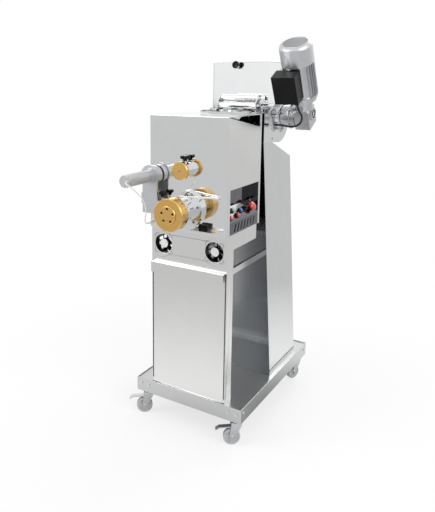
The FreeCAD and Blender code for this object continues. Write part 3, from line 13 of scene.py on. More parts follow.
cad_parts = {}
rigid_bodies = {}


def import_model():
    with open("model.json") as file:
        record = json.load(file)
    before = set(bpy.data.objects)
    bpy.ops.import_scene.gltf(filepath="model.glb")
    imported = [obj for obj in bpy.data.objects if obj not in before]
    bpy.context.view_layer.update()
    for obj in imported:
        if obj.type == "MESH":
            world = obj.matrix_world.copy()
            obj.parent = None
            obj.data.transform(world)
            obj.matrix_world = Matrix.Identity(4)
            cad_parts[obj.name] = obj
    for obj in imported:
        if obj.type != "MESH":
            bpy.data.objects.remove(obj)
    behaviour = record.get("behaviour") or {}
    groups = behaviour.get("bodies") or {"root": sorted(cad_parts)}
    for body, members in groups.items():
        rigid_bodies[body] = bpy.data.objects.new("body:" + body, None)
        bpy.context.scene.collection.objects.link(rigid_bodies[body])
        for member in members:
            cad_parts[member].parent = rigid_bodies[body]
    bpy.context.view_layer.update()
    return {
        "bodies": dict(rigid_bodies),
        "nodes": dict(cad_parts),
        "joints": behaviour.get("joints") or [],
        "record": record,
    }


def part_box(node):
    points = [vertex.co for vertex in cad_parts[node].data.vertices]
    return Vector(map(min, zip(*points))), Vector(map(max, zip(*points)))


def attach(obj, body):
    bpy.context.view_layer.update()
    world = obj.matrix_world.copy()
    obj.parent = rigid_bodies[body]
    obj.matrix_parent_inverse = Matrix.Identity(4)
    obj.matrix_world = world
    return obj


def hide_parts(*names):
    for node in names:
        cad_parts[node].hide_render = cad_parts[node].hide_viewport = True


log = logging.getLogger("pasta_maker")
MM = 0.001
PATCHES_PER_METRE = 9.0


class Axis(Enum):
    """The row's axes, as unit vectors."""

    X = (1.0, 0.0, 0.0)
    Y = (0.0, 1.0, 0.0)
    Z = (0.0, 0.0, 1.0)


def linear(code: str) -> tuple[float, float, float, float]:
    """Turns an sRGB hex colour into Blender's linear values.

    Args:
        code: six hex digits, such as "c8a04a".

    Returns:
        Red, green, blue and alpha, linear.
    """
    values = []
    for start in (0, 2, 4):
        part = int(code[start : start + 2], 16) / 255
        values.append(part / 12.92 if part <= 0.04045 else ((part + 0.055) / 1.055) ** 2.4)
    return (values[0], values[1], values[2], 1.0)


def add_node(
    tree: bpy.types.NodeTree, kind: str, settings: dict | None = None, **links: object
) -> bpy.types.Node:
    """Adds one shader node with its settings, socket values and links.

    Args:
        tree: the material's or world's node tree.
        kind: Blender's name of the node type.
        settings: attributes of the node itself.
        **links: socket name, with spaces as underscores, to a value or to an output socket.

    Returns:
        The new node.
    """
    made = tree.nodes.new(kind)
    for name, value in (settings or {}).items():
        setattr(made, name, value)
    for name, value in links.items():
        key = int(name[1:]) if name[0] == "_" else name.replace("_", " ")
        socket = made.inputs[key]
        if isinstance(value, bpy.types.NodeSocket):
            tree.links.new(value, socket)
        else:
            socket.default_value = value
    return made


@dataclass(frozen=True)
class Finish:
    """A surface finish: what the material is, how it was made, and what the eye gets from that.

    Attributes:
        name: the real material and its finish.
        colour: sRGB hex of the clean surface.
        shade: sRGB hex of its darker patches.
        metallic: 1 for bare metal, 0 for plastics and rubber.
        roughness: mean roughness.
        spread: how far the roughness wanders.
        grain: size of the pattern along X, Y and Z in millimetres.
        bump: height of the pattern in millimetres.
        coat: clear, glossy skin over the surface.
        shine: specular level of a non-metal, where 0.5 is usual.
        front_shade: sRGB hex of painted shade on the faces that look to the front, which stands in
        for the object's own shade there.
    """

    name: str
    colour: str
    shade: str
    metallic: float
    roughness: float
    spread: float
    grain: tuple[float, float, float]
    bump: float
    coat: float = 0.0
    shine: float = 0.5
    front_shade: str = ""

    def build(self) -> bpy.types.Material:
        """Builds the node material.

        Returns:
            The material, with its colour, roughness and bump from its nodes.
        """
        material = bpy.data.materials.new(self.name)
        material.use_nodes = True
        tree = material.node_tree
        tree.nodes.clear()
        place = add_node(tree, "ShaderNodeTexCoord")
        scale = tuple(1 / (size * MM) for size in self.grain)
        mapping = add_node(tree, "ShaderNodeMapping", Vector=place.outputs["Object"], Scale=scale)
        pattern = add_node(
            tree, "ShaderNodeTexNoise", Vector=mapping.outputs[0], Scale=1.0, Detail=4.0, Roughness=0.6
        )
        # Patches of about a tenth of a metre, as handling and cleaning leave them
        patches = add_node(
            tree, "ShaderNodeTexNoise", Vector=place.outputs["Object"], Scale=PATCHES_PER_METRE, Detail=3.0
        )
        blend = add_node(
            tree, "ShaderNodeMath", {"operation": "MULTIPLY_ADD"}, _0=pattern.outputs[0], _1=0.6, _2=-0.1
        )
        sum_up = add_node(
            tree,
            "ShaderNodeMath",
            {"operation": "MULTIPLY_ADD", "use_clamp": True},
            _0=patches.outputs[0],
            _1=0.5,
            _2=blend.outputs[0],
        )
        tint = add_node(tree, "ShaderNodeMix", {"data_type": "RGBA"}, Factor=sum_up.outputs[0])
        for index, code in ((6, self.shade), (7, self.colour)):
            tint.inputs[index].default_value = linear(code)
        colour = tint.outputs[2]
        # Painted shade: faces that look to the front blend into the darker front_shade colour
        if self.front_shade:
            turned = add_node(tree, "ShaderNodeSeparateXYZ", Vector=place.outputs["Normal"])
            front = add_node(
                tree,
                "ShaderNodeMapRange",
                Value=turned.outputs[1],
                From_Min=-0.6,
                From_Max=-0.9,
                To_Min=0.0,
                To_Max=1.0,
            )
            shaded = add_node(
                tree,
                "ShaderNodeMix",
                {"data_type": "RGBA"},
                Factor=front.outputs[0],
                _6=colour,
                _7=linear(self.front_shade),
            )
            colour = shaded.outputs[2]
        rough = add_node(
            tree,
            "ShaderNodeMapRange",
            Value=sum_up.outputs[0],
            To_Min=max(self.roughness - self.spread, 0.02),
            To_Max=self.roughness + self.spread,
        )
        bump = add_node(
            tree, "ShaderNodeBump", Height=pattern.outputs[0], Distance=self.bump * MM, Strength=1.0
        )
        shader = add_node(
            tree,
            "ShaderNodeBsdfPrincipled",
            Base_Color=colour,
            Metallic=self.metallic,
            Roughness=rough.outputs[0],
            Normal=bump.outputs[0],
            Coat_Weight=self.coat,
            Specular_IOR_Level=self.shine,
        )
        add_node(tree, "ShaderNodeOutputMaterial", Surface=shader.outputs[0])
        return material


# Brushed sheet: fine lines across the sheet that draw highlights out sideways
BRUSHED_ACROSS = Finish(
    "brushed_stainless_across", "f0f0ef", "e2e2e1", 1.0, 0.26, 0.06, (60, 60, 0.9), 0.004
)
BRUSHED_UPRIGHT = Finish(
    "brushed_stainless_upright", "f1f1f0", "e3e3e2", 1.0, 0.25, 0.06, (1.0, 1.0, 90), 0.004
)
# Bright-annealed sheet: nearly a mirror, with a faint waviness from rolling
MIRROR_SHEET = Finish(
    "bright_annealed_stainless", "eeefef", "e6e7e8", 1.0, 0.07, 0.03, (40, 40, 40), 0.004
)
# The rear column's sheet: its front looks into the machine and mirrors only dark steel, so its front faces
# get painted shade, a darker colour in place of that dark reflection
TOWER_SHEET = Finish(
    "bright_annealed_stainless_column",
    "e6e7e7",
    "dddedf",
    1.0,
    0.09,
    0.03,
    (40, 40, 40),
    0.004,
    front_shade="a4a6a9",
)
# Box rails and deck: brushed as the doors, in a greyer colour
BRUSHED_RAIL = Finish("brushed_stainless_rail", "d3d4d3", "c3c4c4", 1.0, 0.3, 0.06, (60, 60, 0.9), 0.004)
# Chromed tubes and bars: bright with a soft haze
CHROME_PLATE = Finish("chromed_steel", "f0f1f2", "dfe0e2", 1.0, 0.1, 0.04, (8, 8, 8), 0.002)
# Zinc plating: a grey blue haze with small crystals
ZINC_PLATE = Finish("zinc_plated_steel", "e2e3e5", "c2c4c8", 1.0, 0.28, 0.1, (3, 3, 3), 0.01)
# Turned brass: warm, with fine tool marks
TURNED_BRASS = Finish("turned_brass", "f0cb86", "dcab5c", 1.0, 0.24, 0.06, (2.5, 1.2, 2.5), 0.006)
# Die-cast aluminium: a dull, fine sand texture
CAST_ALUMINIUM = Finish("die_cast_aluminium", "dcdddf", "b4b6ba", 0.95, 0.3, 0.1, (1.6, 1.6, 1.6), 0.05)
# Machined and bead-blasted aluminium: pale and even
BLASTED_ALUMINIUM = Finish(
    "blasted_aluminium", "d9dadc", "bfc1c4", 0.9, 0.36, 0.06, (1.2, 1.2, 1.2), 0.01
)
# Grey thermoplastic rubber of the treads: dull, with moulding haze
GREY_TREAD = Finish("grey_thermoplastic_rubber", "c6c7c9", "b0b2b4", 0.0, 0.6, 0.1, (2, 2, 2), 0.02)
# Moulded black polyamide: dark with a fine eroded texture
BLACK_POLYAMIDE = Finish(
    "black_polyamide", "0e0e10", "08080a", 0.0, 0.34, 0.08, (1.1, 1.1, 1.1), 0.02, shine=0.22
)
# Polished stainless of the recess with painted shade: its dark grey colour stands in for the machine's own
# dark side, which it mostly mirrors
PAINTED_SHADE_MIRROR = Finish(
    "polished_stainless_painted_shade", "77797d", "66686c", 1.0, 0.06, 0.03, (40, 40, 40), 0.003
)
# White polyacetal, turned or moulded: slightly glossy
WHITE_ACETAL = Finish("white_polyacetal", "efefec", "dededb", 0.0, 0.32, 0.05, (2, 2, 2), 0.004)
# Button caps in polycarbonate: saturated, with a glossy skin
RED_CAP = Finish("red_polycarbonate", "d8391f", "b72a16", 0.0, 0.25, 0.04, (2, 2, 2), 0.003, coat=0.5)
GREEN_CAP = Finish("green_polycarbonate", "118a50", "0b6b3c", 0.0, 0.25, 0.04, (2, 2, 2), 0.003, coat=0.5)
BLUE_CAP = Finish("blue_polycarbonate", "1d5fb4", "154a90", 0.0, 0.25, 0.04, (2, 2, 2), 0.003, coat=0.5)
# Cable sheaths in soft vinyl
BLACK_SHEATH = Finish("black_vinyl_sheath", "18181a", "0f0f10", 0.0, 0.45, 0.08, (2, 2, 2), 0.01)
WHITE_SHEATH = Finish("white_vinyl_sheath", "f0f0ee", "dfdfdc", 0.0, 0.4, 0.06, (2, 2, 2), 0.005)

NODE_FINISHES = {
    TOWER_SHEET: ("rear_tower",),
    BRUSHED_RAIL: ("base_rails", "deck_plate"),
    BRUSHED_ACROSS: ("front_door", "tie_bars", "guard_shelf"),
    BRUSHED_UPRIGHT: (
        "front_column",
        "head_side",
        "auger",
        "feed_roller_upper",
        "feed_roller_lower",
        "mixer_shaft",
        "tub_lid",
    ),
    PAINTED_SHADE_MIRROR: ("console",),
    MIRROR_SHEET: ("head_shell", "tub", "tub_gate", "feed_frame"),
    CHROME_PLATE: ("barrel", "post_sleeve", "cutter_bracket"),
    ZINC_PLATE: ("castor_mounts", "fasteners"),
    TURNED_BRASS: ("ring_nut", "die", "post_plug"),
    CAST_ALUMINIUM: ("gearbox", "motor_body", "extruder_drive"),
    BLASTED_ALUMINIUM: ("motor_cowl", "cutter_arm", "cutter_motor"),
    BLACK_POLYAMIDE: (
        "fan_frames",
        "fan_rotor_left",
        "fan_rotor_right",
        "mains_gland",
        "button_bezels",
        "selector_knob",
        "safety_switch",
        "terminal_box",
        "post_knob",
        "cutter_knob",
    ),
    WHITE_ACETAL: ("cable_plug",),
    RED_CAP: ("red_button_front", "red_button_rear", "stop_button"),
    GREEN_CAP: ("green_button",),
    BLUE_CAP: ("blue_button",),
    BLACK_SHEATH: ("motor_cable",),
    WHITE_SHEATH: ("cutter_cable",),
}
CORNERS = ("front_left", "front_right", "rear_left", "rear_right")


class Workshop:
    """Makes meshes and materials, and hands pieces over to their bodies."""

    def __init__(self, frame: dict) -> None:
        """Keeps the loaded frame.
        """
        self.frame = frame
        self.materials: dict[Finish, bpy.types.Material] = {}

    def material(self, finish: Finish) -> bpy.types.Material:
        """The one material of a finish, made when first asked for.

        Args:
            finish: the finish.

        Returns:
            Its material.
        """
        if finish not in self.materials:
            self.materials[finish] = finish.build()
        return self.materials[finish]

    def dress(self, node: str, finish: Finish, edge: float = 0.7) -> None:
        """Gives a frame node its finish and small rounded edges.

        Args:
            node: the node's name.
            finish: its finish.
            edge: radius of its broken edges in millimetres, or 0 for none.
        """
        piece = self.frame["nodes"][node]
        piece.data.materials.clear()
        piece.data.materials.append(self.material(finish))
        if edge:
            weld = piece.modifiers.new("weld", "WELD")
            weld.merge_threshold = 0.02 * MM
            bevel = piece.modifiers.new("broken edges", "BEVEL")
            bevel.width = edge * MM
            bevel.segments = 2
            bevel.limit_method = "ANGLE"
            bevel.angle_limit = math.radians(38)
            bevel.use_clamp_overlap = True
            normals = piece.modifiers.new("flat faces", "WEIGHTED_NORMAL")
            normals.keep_sharp = True

    def piece(
        self, name: str, mesh: bmesh.types.BMesh, body: str, finish: Finish, smooth: float = 35.0
    ) -> bpy.types.Object:
        """Turns a mesh into a piece that rides on a body.

        Args:
            name: the piece's name.
            mesh: its geometry, in the row frame, in metres.
            body: the body that it rides on.
            finish: its finish.
            smooth: edges sharper than this, in degrees, stay sharp.

        Returns:
            The new object.
        """
        bmesh.ops.recalc_face_normals(mesh, faces=mesh.faces)
        for edge in mesh.edges:
            if len(edge.link_faces) == 2:
                edge.smooth = edge.calc_face_angle(0.0) < math.radians(smooth)
        for face in mesh.faces:
            face.smooth = True
        data = bpy.data.meshes.new(name)
        mesh.to_mesh(data)
        mesh.free()
        made = bpy.data.objects.new(name, data)
        bpy.context.scene.collection.objects.link(made)
        data.materials.append(self.material(finish))
        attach(made, body)
        log.info("%s rides on %s", name, body)
        return made


def lathe(
    mesh: bmesh.types.BMesh,
    profile: list[tuple[float, float]],
    at: Vector,
    along: Vector,
    steps: int = 48,
) -> None:
    """Adds a turned shape to a mesh.

    Args:
        mesh: the mesh.
        profile: (radius, distance) corners in millimetres, from one end of the axis to the other.
        at: the axis's origin in metres.
        along: the axis's direction.
        steps: sides of the circle.
    """
    turn = along.normalized().to_track_quat("Z", "Y").to_matrix()
    rings = []
    for radius, distance in profile:
        if radius <= 0:
            rings.append([mesh.verts.new(at + turn @ Vector((0, 0, distance * MM)))])
            continue
        ring = []
        for step in range(steps):
            angle = 2 * math.pi * step / steps
            spot = Vector((radius * math.cos(angle), radius * math.sin(angle), distance)) * MM
            ring.append(mesh.verts.new(at + turn @ spot))
        rings.append(ring)
    for low, high in zip(rings, rings[1:]):
        for step in range(steps):
            after = (step + 1) % steps
            if len(low) == 1 and len(high) == 1:
                continue
            if len(low) == 1:
                mesh.faces.new((low[0], high[after], high[step]))
            elif len(high) == 1:
                mesh.faces.new((low[step], low[after], high[0]))
            else:
                mesh.faces.new((low[step], low[after], high[after], high[step]))


@dataclass
class StarKnob:
    """Black clamping knob: rounded lobes over a tapering neck, on a chromed screw.

    Attributes:
        name: the node that it stands for, and its body.
        radius: to the lobes' tips, in millimetres.
        waist: to the hollows between them.
        lobes: how many lobes it has.
        height: of the head and neck together.
        layers: height share and radius share of each ring of the form.
    """

    name: str
    radius: float = 15.4
    waist: float = 10.2
    lobes: int = 5
    height: float = 20.0
    layers: tuple[tuple[float, float, float], ...] = (
        (0.0, 0.40, 0.0),
        (0.12, 0.44, 0.0),
        (0.3, 0.46, 0.1),
        (0.42, 0.8, 0.8),
        (0.5, 0.96, 1.0),
        (0.62, 1.0, 1.0),
        (0.84, 1.0, 1.0),
        (0.95, 0.94, 1.0),
        (1.0, 0.82, 0.9),
        (1.0, 0.35, 0.0),
    )

    def outline(self, angle: float, lobed: float) -> float:
        """Radius of the form at an angle.

        Args:
            angle: about the knob's axis, in radians.
            lobed: 0 for round, 1 for full lobes.

        Returns:
            The radius in millimetres.
        """
        wave = 0.5 + 0.5 * math.cos(self.lobes * (angle - math.radians(18)))
        full = self.waist + (self.radius - self.waist) * wave**0.7
        return self.radius * (1 - lobed) + full * lobed

    def build(self, shop: Workshop) -> None:
        """Makes the knob and its screw.

        Args:
            shop: the workshop.
        """
        low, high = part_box(self.name)
        centre = Vector(((low[0] + high[0]) / 2, (low[1] + high[1]) / 2, high[2] - self.height * MM))
        mesh = bmesh.new()
        steps = 60
        rings = []
        for rise, share, lobed in self.layers:
            ring = []
            for step in range(steps):
                angle = 2 * math.pi * step / steps
                radius = self.outline(angle, lobed) * share
                spot = Vector((radius * math.cos(angle), radius * math.sin(angle), rise * self.height))
                ring.append(mesh.verts.new(centre + spot * MM))
            rings.append(ring)
        for lower, upper in zip(rings, rings[1:]):
            for step in range(steps):
                after = (step + 1) % steps
                mesh.faces.new((lower[step], lower[after], upper[after], upper[step]))
        mesh.faces.new(list(reversed(rings[0])))
        mesh.faces.new(rings[-1])
        knob = shop.piece(f"{self.name}_head", mesh, self.name, BLACK_POLYAMIDE)
        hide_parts(self.name)
        screw = bmesh.new()
        length = (centre.z - low[2]) / MM
        profile = [(0, 0), (3.4, 0), (3.9, 0.6)]
        turns = int(length / 1.5)
        for turn in range(turns):
            profile += [(3.9, 1.0 + 1.5 * turn), (3.4, 1.6 + 1.5 * turn)]
        profile += [(3.9, length + 1), (0, length + 1)]
        lathe(screw, profile, Vector((centre.x, centre.y, low[2])), Vector(Axis.Z.value), 24)
        thread = shop.piece(f"{self.name}_screw", screw, self.name, CHROME_PLATE)
        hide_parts(self.name)


@dataclass
class FanHub:
    """Bright label disc on the hub of an axial fan.

    Attributes:
        side: "left" or "right".
        radius: of the label, in millimetres.
        offset: of the fan's axis from the middle of the panel.
        height: of the fan's axis over the floor.
    """

    side: str
    radius: float = 17.0
    offset: float = 110.0
    height: float = 748.0

    def build(self, shop: Workshop) -> None:
        """Adds the label.

        Args:
            shop: the workshop.
        """
        rotor = f"fan_rotor_{self.side}"
        low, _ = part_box(rotor)
        across = -self.offset if self.side == "left" else self.offset
        centre = Vector((across * MM, low[1], self.height * MM))
        rim = self.radius
        profile = [(0, -0.9), (rim - 2, -0.9), (rim, -0.2), (rim, 0.3), (0, 0.3)]
        mesh = bmesh.new()
        lathe(mesh, profile, centre, Vector(Axis.Y.value))
        shop.piece(f"fan_label_{self.side}", mesh, rotor, WHITE_ACETAL)


@dataclass
class Lead:
    """A held cable that follows its route as one smooth curve.

    Attributes:
        node: the node that it stands for.
        body: the body that carries it.
        radius: of its sheath, in millimetres.
        route: its points in metres.
        finish: of its sheath.
    """

    node: str
    body: str
    radius: float
    route: list[Vector]
    finish: Finish

    def build(self, shop: Workshop) -> None:
        """Makes the curve.

        Args:
            shop: the workshop.
        """
        curve = bpy.data.curves.new(f"{self.node}_line", "CURVE")
        curve.dimensions = "3D"
        curve.bevel_depth = self.radius * MM
        curve.bevel_resolution = 5
        curve.use_fill_caps = True
        spline = curve.splines.new("NURBS")
        spline.points.add(len(self.route) - 1)
        for point, spot in zip(spline.points, self.route):
            point.co = (*spot, 1.0)
        spline.order_u = 3
        spline.use_endpoint_u = True
        spline.resolution_u = 10
        made = bpy.data.objects.new(f"{self.node}_sheath", curve)
        bpy.context.scene.collection.objects.link(made)
        curve.materials.append(shop.material(self.finish))
        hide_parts(self.node)
        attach(made, self.body)
        log.info("%s rides on %s", made.name, self.body)


@dataclass
class SocketScrews:
    """Hexagon sockets in the heads of the flange bolts, drawn as black discs of painted shade.

    Attributes:
        circle: radius of the bolt circle, in millimetres.
        height: of the extruder's axis.
        face: the heads' front face along Y.
    """

    circle: float = 58.0
    height: float = 899.0
    face: float = -369.0

    def build(self, shop: Workshop) -> None:
        """Adds the black discs, painted shade on the socket floors.

        Args:
            shop: the workshop.
        """
        mesh = bmesh.new()
        for index in range(6):
            angle = math.radians(15 + 60 * index)
            rise = self.height + self.circle * math.sin(angle)
            spot = Vector((self.circle * math.cos(angle), self.face, rise))
            lathe(mesh, [(0, 0.05), (3.0, 0.05), (3.3, 0.4), (0, 0.5)], spot * MM, -Vector(Axis.Y.value), 6)
        # Black polyamide here is painted shade in the sockets' hollows
        shop.piece("bolt_socket_painted_shade", mesh, "frame", BLACK_POLYAMIDE)


@dataclass
class GateKnob:
    """Black moulded cap on the knob of the tub's gate.

    Attributes:
        across: the knob's place along X, in millimetres.
        drop: how far its axis lies under the gate's top.
        radius: of the knob.
        depth: of the cap.
    """

    across: float = 27.0
    drop: float = 12.0
    radius: float = 14.6
    depth: float = 11.0

    def build(self, shop: Workshop) -> None:
        """Adds the cap, with a shallow dish in its face.

        Args:
            shop: the workshop.
        """
        low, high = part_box("tub_gate")
        spot = Vector((self.across * MM, low[1], high[2] - self.drop * MM))
        rim = self.radius
        profile = [(0, -0.4), (rim - 5, -0.4), (rim - 3, -1.2), (rim - 1, -1.0), (rim, 0.2)]
        profile += [(rim, self.depth), (0, self.depth)]
        mesh = bmesh.new()
        lathe(mesh, profile, spot, Vector(Axis.Y.value))
        shop.piece("gate_knob_cap", mesh, "tub_gate", BLACK_POLYAMIDE)


@dataclass
class Gearing:
    """Trim of the leaned gearmotor: bolt heads, dark joints and the fan under the cowl.

    Attributes:
        centre: the mixer axis in millimetres.
        lean: the motor's lean in degrees.
        ring_x: outward face of the ring on the gear drum.
        ring_circle: radius of the bolt circle on that ring.
        cover_x: outward face of the round cover.
        cover: its centre beside the axis.
        cover_circle: radius of the bolt circle on the cover.
        joints: place and radius of the dark joints between the drum's sections.
        motor_x: the motor's axis along X.
        fan_rise: the fan's height along the motor's axis.
        fan_radius: of the fan.
    """

    centre: tuple[float, float, float] = (0.0, 116.0, 1221.0)
    lean: float = 28.0
    ring_x: float = 214.0
    ring_circle: float = 44.5
    cover_x: float = 303.0
    cover: tuple[float, float] = (2.0, 14.0)
    cover_circle: float = 22.0
    joints: tuple[tuple[float, float], ...] = ((207.6, 45.6), (235.5, 41.7), (177.6, 45.6))
    motor_x: float = 270.0
    fan_rise: float = 305.0
    fan_radius: float = 50.0

    def spot(self, x: float, y: float, z: float) -> Vector:
        """A point of the upright drawing, leaned into place, in metres."""
        turn = Matrix.Rotation(math.radians(self.lean), 3, "X")
        return (Vector(self.centre) + turn @ Vector((x, y, z))) * MM

    def build(self, shop: Workshop) -> None:
        """Adds the trim.

        Args:
            shop: the workshop.
        """
        out = Vector(Axis.X.value)
        heads = bmesh.new()
        for index in range(8):
            angle = math.radians(22.5 + 45 * index)
            across = self.ring_circle * math.cos(angle)
            at = self.spot(self.ring_x, across, self.ring_circle * math.sin(angle))
            lathe(heads, [(0, -0.2), (4.2, -0.2), (4.2, 3.6), (3.4, 4.2), (0, 4.2)], at, out, 12)
        for index in range(6):
            angle = math.radians(60 * index)
            across = self.cover[0] + self.cover_circle * math.cos(angle)
            at = self.spot(self.cover_x, across, self.cover[1] + self.cover_circle * math.sin(angle))
            lathe(heads, [(0, -0.2), (2.6, -0.2), (2.6, 1.8), (2, 2.2), (0, 2.2)], at, out, 12)
        shop.piece("gear_bolt_heads", heads, "frame", ZINC_PLATE)
        seals = bmesh.new()
        for x, radius in self.joints:
            profile = [(radius - 2, 0), (radius, 0), (radius, 1.6), (radius - 2, 1.6)]
            lathe(seals, profile, self.spot(x, 0, 0), out)
        at = self.spot(self.cover_x, *self.cover)
        lathe(seals, [(12, -0.2), (12, 1.2), (17, 1.2), (17, -0.2)], at, out)
        shop.piece("gear_dark_joints", seals, "frame", BLACK_POLYAMIDE)
        fan = bmesh.new()
        up = self.spot(0, 0, 1) - self.spot(0, 0, 0)
        profile = [(0, -4), (self.fan_radius, -4), (self.fan_radius, 0), (0, 0)]
        lathe(fan, profile, self.spot(self.motor_x, 0, self.fan_rise), up)
        shop.piece("motor_fan", fan, "frame", BLACK_POLYAMIDE)


@dataclass
class Studio:
    """Pale floor, soft lamps, a white surround, and the camera at the photograph's place.

    Attributes:
        eye: the camera's place in metres.
        yaw: how far it looks to the left of +Y, in radians.
        pitch: how far it looks up, in radians.
        focal: focal length in pixels of the photograph.
        centre: the optical axis's pixel.
        image: width and height of the photograph.
        ambient: strength of the surround's soft light.
        lamps: place, side and power of each soft lamp.
    """

    eye: tuple[float, float, float] = (1.0813, -2.145, 1.3645)
    yaw: float = 0.5803
    pitch: float = -0.1808
    focal: float = 583.7
    centre: tuple[float, float] = (164.82, 186.82)
    image: tuple[int, int] = (435, 512)
    ambient: float = 0.55
    lamps: list[tuple[tuple[float, float, float], float, float]] = field(
        default_factory=lambda: [
            ((-2.4, -2.6, 2.8), 2.2, 60.0),
            ((2.6, -1.2, 2.6), 1.8, 40.0),
            ((0.4, 2.6, 3.0), 2.0, 40.0),
        ]
    )

    def camera(self) -> None:
        """Places the camera."""
        data = bpy.data.cameras.new("photograph")
        data.sensor_fit = "HORIZONTAL"
        data.sensor_width = 36.0
        data.lens = 36.0 * self.focal / self.image[0]
        data.shift_x = (self.image[0] / 2 - self.centre[0]) / self.image[0]
        data.shift_y = -(self.image[1] / 2 - self.centre[1]) / self.image[0]
        camera = bpy.data.objects.new("photograph", data)
        bpy.context.scene.collection.objects.link(camera)
        ahead = Vector((-math.sin(self.yaw), math.cos(self.yaw), 0)) * math.cos(self.pitch)
        ahead.z = math.sin(self.pitch)
        turn = ahead.to_track_quat("-Z", "Y").to_matrix().to_4x4()
        camera.matrix_world = Matrix.Translation(self.eye) @ turn
        bpy.context.scene.camera = camera

    def direct_look(self, tree: bpy.types.NodeTree, path: bpy.types.Node) -> bpy.types.NodeSocket:
        """Tells rays that show the backdrop itself from those that only carry its light.

        Args:
            tree: the node tree.
            path: its light path node.

        Returns:
            1 for camera, glossy and transmission rays, and 0 for the rest.
        """
        first = add_node(
            tree,
            "ShaderNodeMath",
            {"operation": "MAXIMUM"},
            _0=path.outputs["Is Camera Ray"],
            _1=path.outputs["Is Glossy Ray"],
        )
        both = add_node(
            tree,
            "ShaderNodeMath",
            {"operation": "MAXIMUM"},
            _0=first.outputs[0],
            _1=path.outputs["Is Transmission Ray"],
        )
        return both.outputs[0]

    def light_up(self) -> None:
        """Adds the soft lamps and the world."""
        for place, size, power in self.lamps:
            data = bpy.data.lights.new("softbox", "AREA")
            data.shape = "SQUARE"
            data.size = size
            data.energy = power
            lamp = bpy.data.objects.new("softbox", data)
            bpy.context.scene.collection.objects.link(lamp)
            aim = Vector((0, 0, 0.8)) - Vector(place)
            turn = aim.to_track_quat("-Z", "Y").to_matrix().to_4x4()
            lamp.matrix_world = Matrix.Translation(place) @ turn
        world = bpy.data.worlds.new("studio")
        world.use_nodes = True
        tree = world.node_tree
        tree.nodes.clear()
        path = add_node(tree, "ShaderNodeLightPath")
        dim = add_node(tree, "ShaderNodeBackground", Color=(1, 1, 1, 1), Strength=self.ambient)
        white = add_node(tree, "ShaderNodeBackground", Color=(1, 1, 1, 1), Strength=1.0)
        look = self.direct_look(tree, path)
        seen = add_node(tree, "ShaderNodeMixShader", Fac=look, _1=dim.outputs[0], _2=white.outputs[0])
        add_node(tree, "ShaderNodeOutputWorld", Surface=seen.outputs[0])
        bpy.context.scene.world = world

    def floor(self) -> None:
        """Adds the pale floor, which keeps the shadow."""
        mesh = bmesh.new()
        bmesh.ops.create_grid(mesh, x_segments=2, y_segments=2, size=30.0)
        data = bpy.data.meshes.new("floor")
        mesh.to_mesh(data)
        mesh.free()
        floor = bpy.data.objects.new("floor", data)
        bpy.context.scene.collection.objects.link(floor)
        material = bpy.data.materials.new("pale_floor")
        material.use_nodes = True
        tree = material.node_tree
        tree.nodes.clear()
        path = add_node(tree, "ShaderNodeLightPath")
        place = add_node(tree, "ShaderNodeTexCoord")
        distance = add_node(
            tree, "ShaderNodeVectorMath", {"operation": "LENGTH"}, _0=place.outputs["Object"]
        )
        metres = distance.outputs["Value"]
        matte = add_node(tree, "ShaderNodeBsdfPrincipled", Base_Color=linear("f6f6f6"), Roughness=0.9)
        # Painted pool of light standing in for lamps: near the machine the floor's emission is brightest
        near = add_node(
            tree, "ShaderNodeMapRange", Value=metres, From_Min=0.7, From_Max=1.9, To_Min=1.0, To_Max=0.66
        )
        # Painted shadow: under the machine the emission is dimmed
        shadow = add_node(
            tree, "ShaderNodeMapRange", Value=metres, From_Min=0.25, From_Max=0.6, To_Min=0.2, To_Max=1.0
        )
        lit = add_node(
            tree, "ShaderNodeMath", {"operation": "MULTIPLY"}, _0=near.outputs[0], _1=shadow.outputs[0]
        )
        # This emission, with its painted light and painted shadow, is what glossy and transmission rays see
        # of the floor
        pool = add_node(tree, "ShaderNodeEmission", Color=(1, 1, 1, 1), Strength=lit.outputs[0])
        glow = add_node(tree, "ShaderNodeEmission", Color=(1, 1, 1, 1), Strength=1.0)
        fade = add_node(
            tree, "ShaderNodeMapRange", Value=metres, From_Min=0.5, From_Max=1.4, To_Min=0.72, To_Max=1.0
        )
        seen = add_node(
            tree, "ShaderNodeMixShader", Fac=fade.outputs[0], _1=matte.outputs[0], _2=glow.outputs[0]
        )
        look = self.direct_look(tree, path)
        first = add_node(tree, "ShaderNodeMixShader", Fac=look, _1=matte.outputs[0], _2=pool.outputs[0])
        mix = add_node(
            tree,
            "ShaderNodeMixShader",
            Fac=path.outputs["Is Camera Ray"],
            _1=first.outputs[0],
            _2=seen.outputs[0],
        )
        add_node(tree, "ShaderNodeOutputMaterial", Surface=mix.outputs[0])
        data.materials.append(material)

    def build(self) -> None:
        """Sets the whole studio up."""
        self.camera()
        self.light_up()
        self.floor()
        bpy.context.scene.view_settings.view_transform = "Standard"


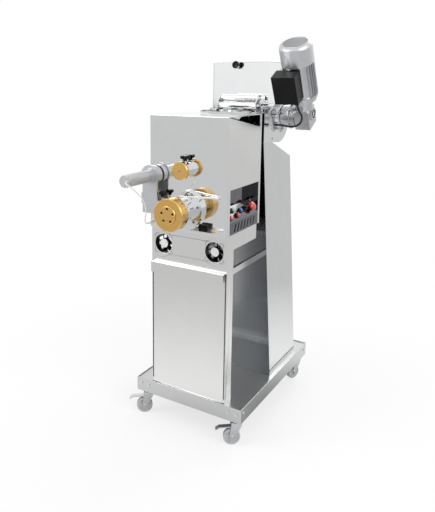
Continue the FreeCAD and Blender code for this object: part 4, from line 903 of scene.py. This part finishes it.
def leads() -> list[Lead]:
    """The two leads, along the same points as in the part's source.

    Returns:
        The white lead of the cutter motor and the black one of the gearmotor.
    """
    start = Vector((-140, -541, 1015))
    steps = [(12, 0, 2), (12, -20, 2), (48, -22, -14), (62, 4, -42), (59, 34, -68), (47, 62, -98)]
    steps += [(29, 90, -127), (6, 116, -155), (-12, 142, -178), (-16, 162, -187), (-16, 180, -187)]
    white = [(start + Vector(step)) * MM for step in steps]
    lean = Matrix.Rotation(math.radians(28), 3, "X")
    centre = Vector((0, 116, 1221))
    x = 282.0
    y = -92.0
    z = 110.0
    steps = [(x, y, z), (x, y, z - 22), (x + 16, y - 4, z - 52), (x + 2, y - 8, z - 86)]
    steps += [(x - 36, y - 4, z - 100), (x - 76, y + 2, z - 96)]
    black = [(centre + lean @ Vector(step)) * MM for step in steps]
    wall_y = (centre + lean @ Vector((0, y + 8, 0))).y - 6
    wall_z = (centre + lean @ Vector((0, y, z - 96))).z
    wall = Vector((158, wall_y, wall_z))
    black += [(wall + Vector((34, 0, 0))) * MM, (wall + Vector((12, 0, 0))) * MM]
    return [
        Lead("cutter_cable", "cutter_arm", 2.2, white, WHITE_SHEATH),
        Lead("motor_cable", "frame", 4.0, black, BLACK_SHEATH),
    ]


def dress_frame(shop: Workshop) -> None:
    """Gives every frame node its finish.

    Args:
        shop: the workshop.
    """
    for finish, nodes in NODE_FINISHES.items():
        for node in nodes:
            shop.dress(node, finish)
    for corner in CORNERS:
        shop.dress(f"fork_{corner}", ZINC_PLATE)
        shop.dress(f"wheel_{corner}", GREY_TREAD, 0.4)
    for side in ("left", "right"):
        shop.dress(f"brake_pedal_{side}", ZINC_PLATE)


def main() -> None:
    """Builds the dressed machine and its studio."""
    logging.basicConfig(level=logging.INFO, format="%(name)s: %(message)s")
    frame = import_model()
    shop = Workshop(frame)
    dress_frame(shop)
    for knob in (StarKnob("post_knob", 18.5, 12.0), StarKnob("cutter_knob")):
        knob.build(shop)
    for side in ("left", "right"):
        FanHub(side).build(shop)
    for lead in leads():
        lead.build(shop)
    SocketScrews().build(shop)
    GateKnob().build(shop)
    Gearing().build(shop)
    Studio().build()


if __name__ == "__main__":
    main()
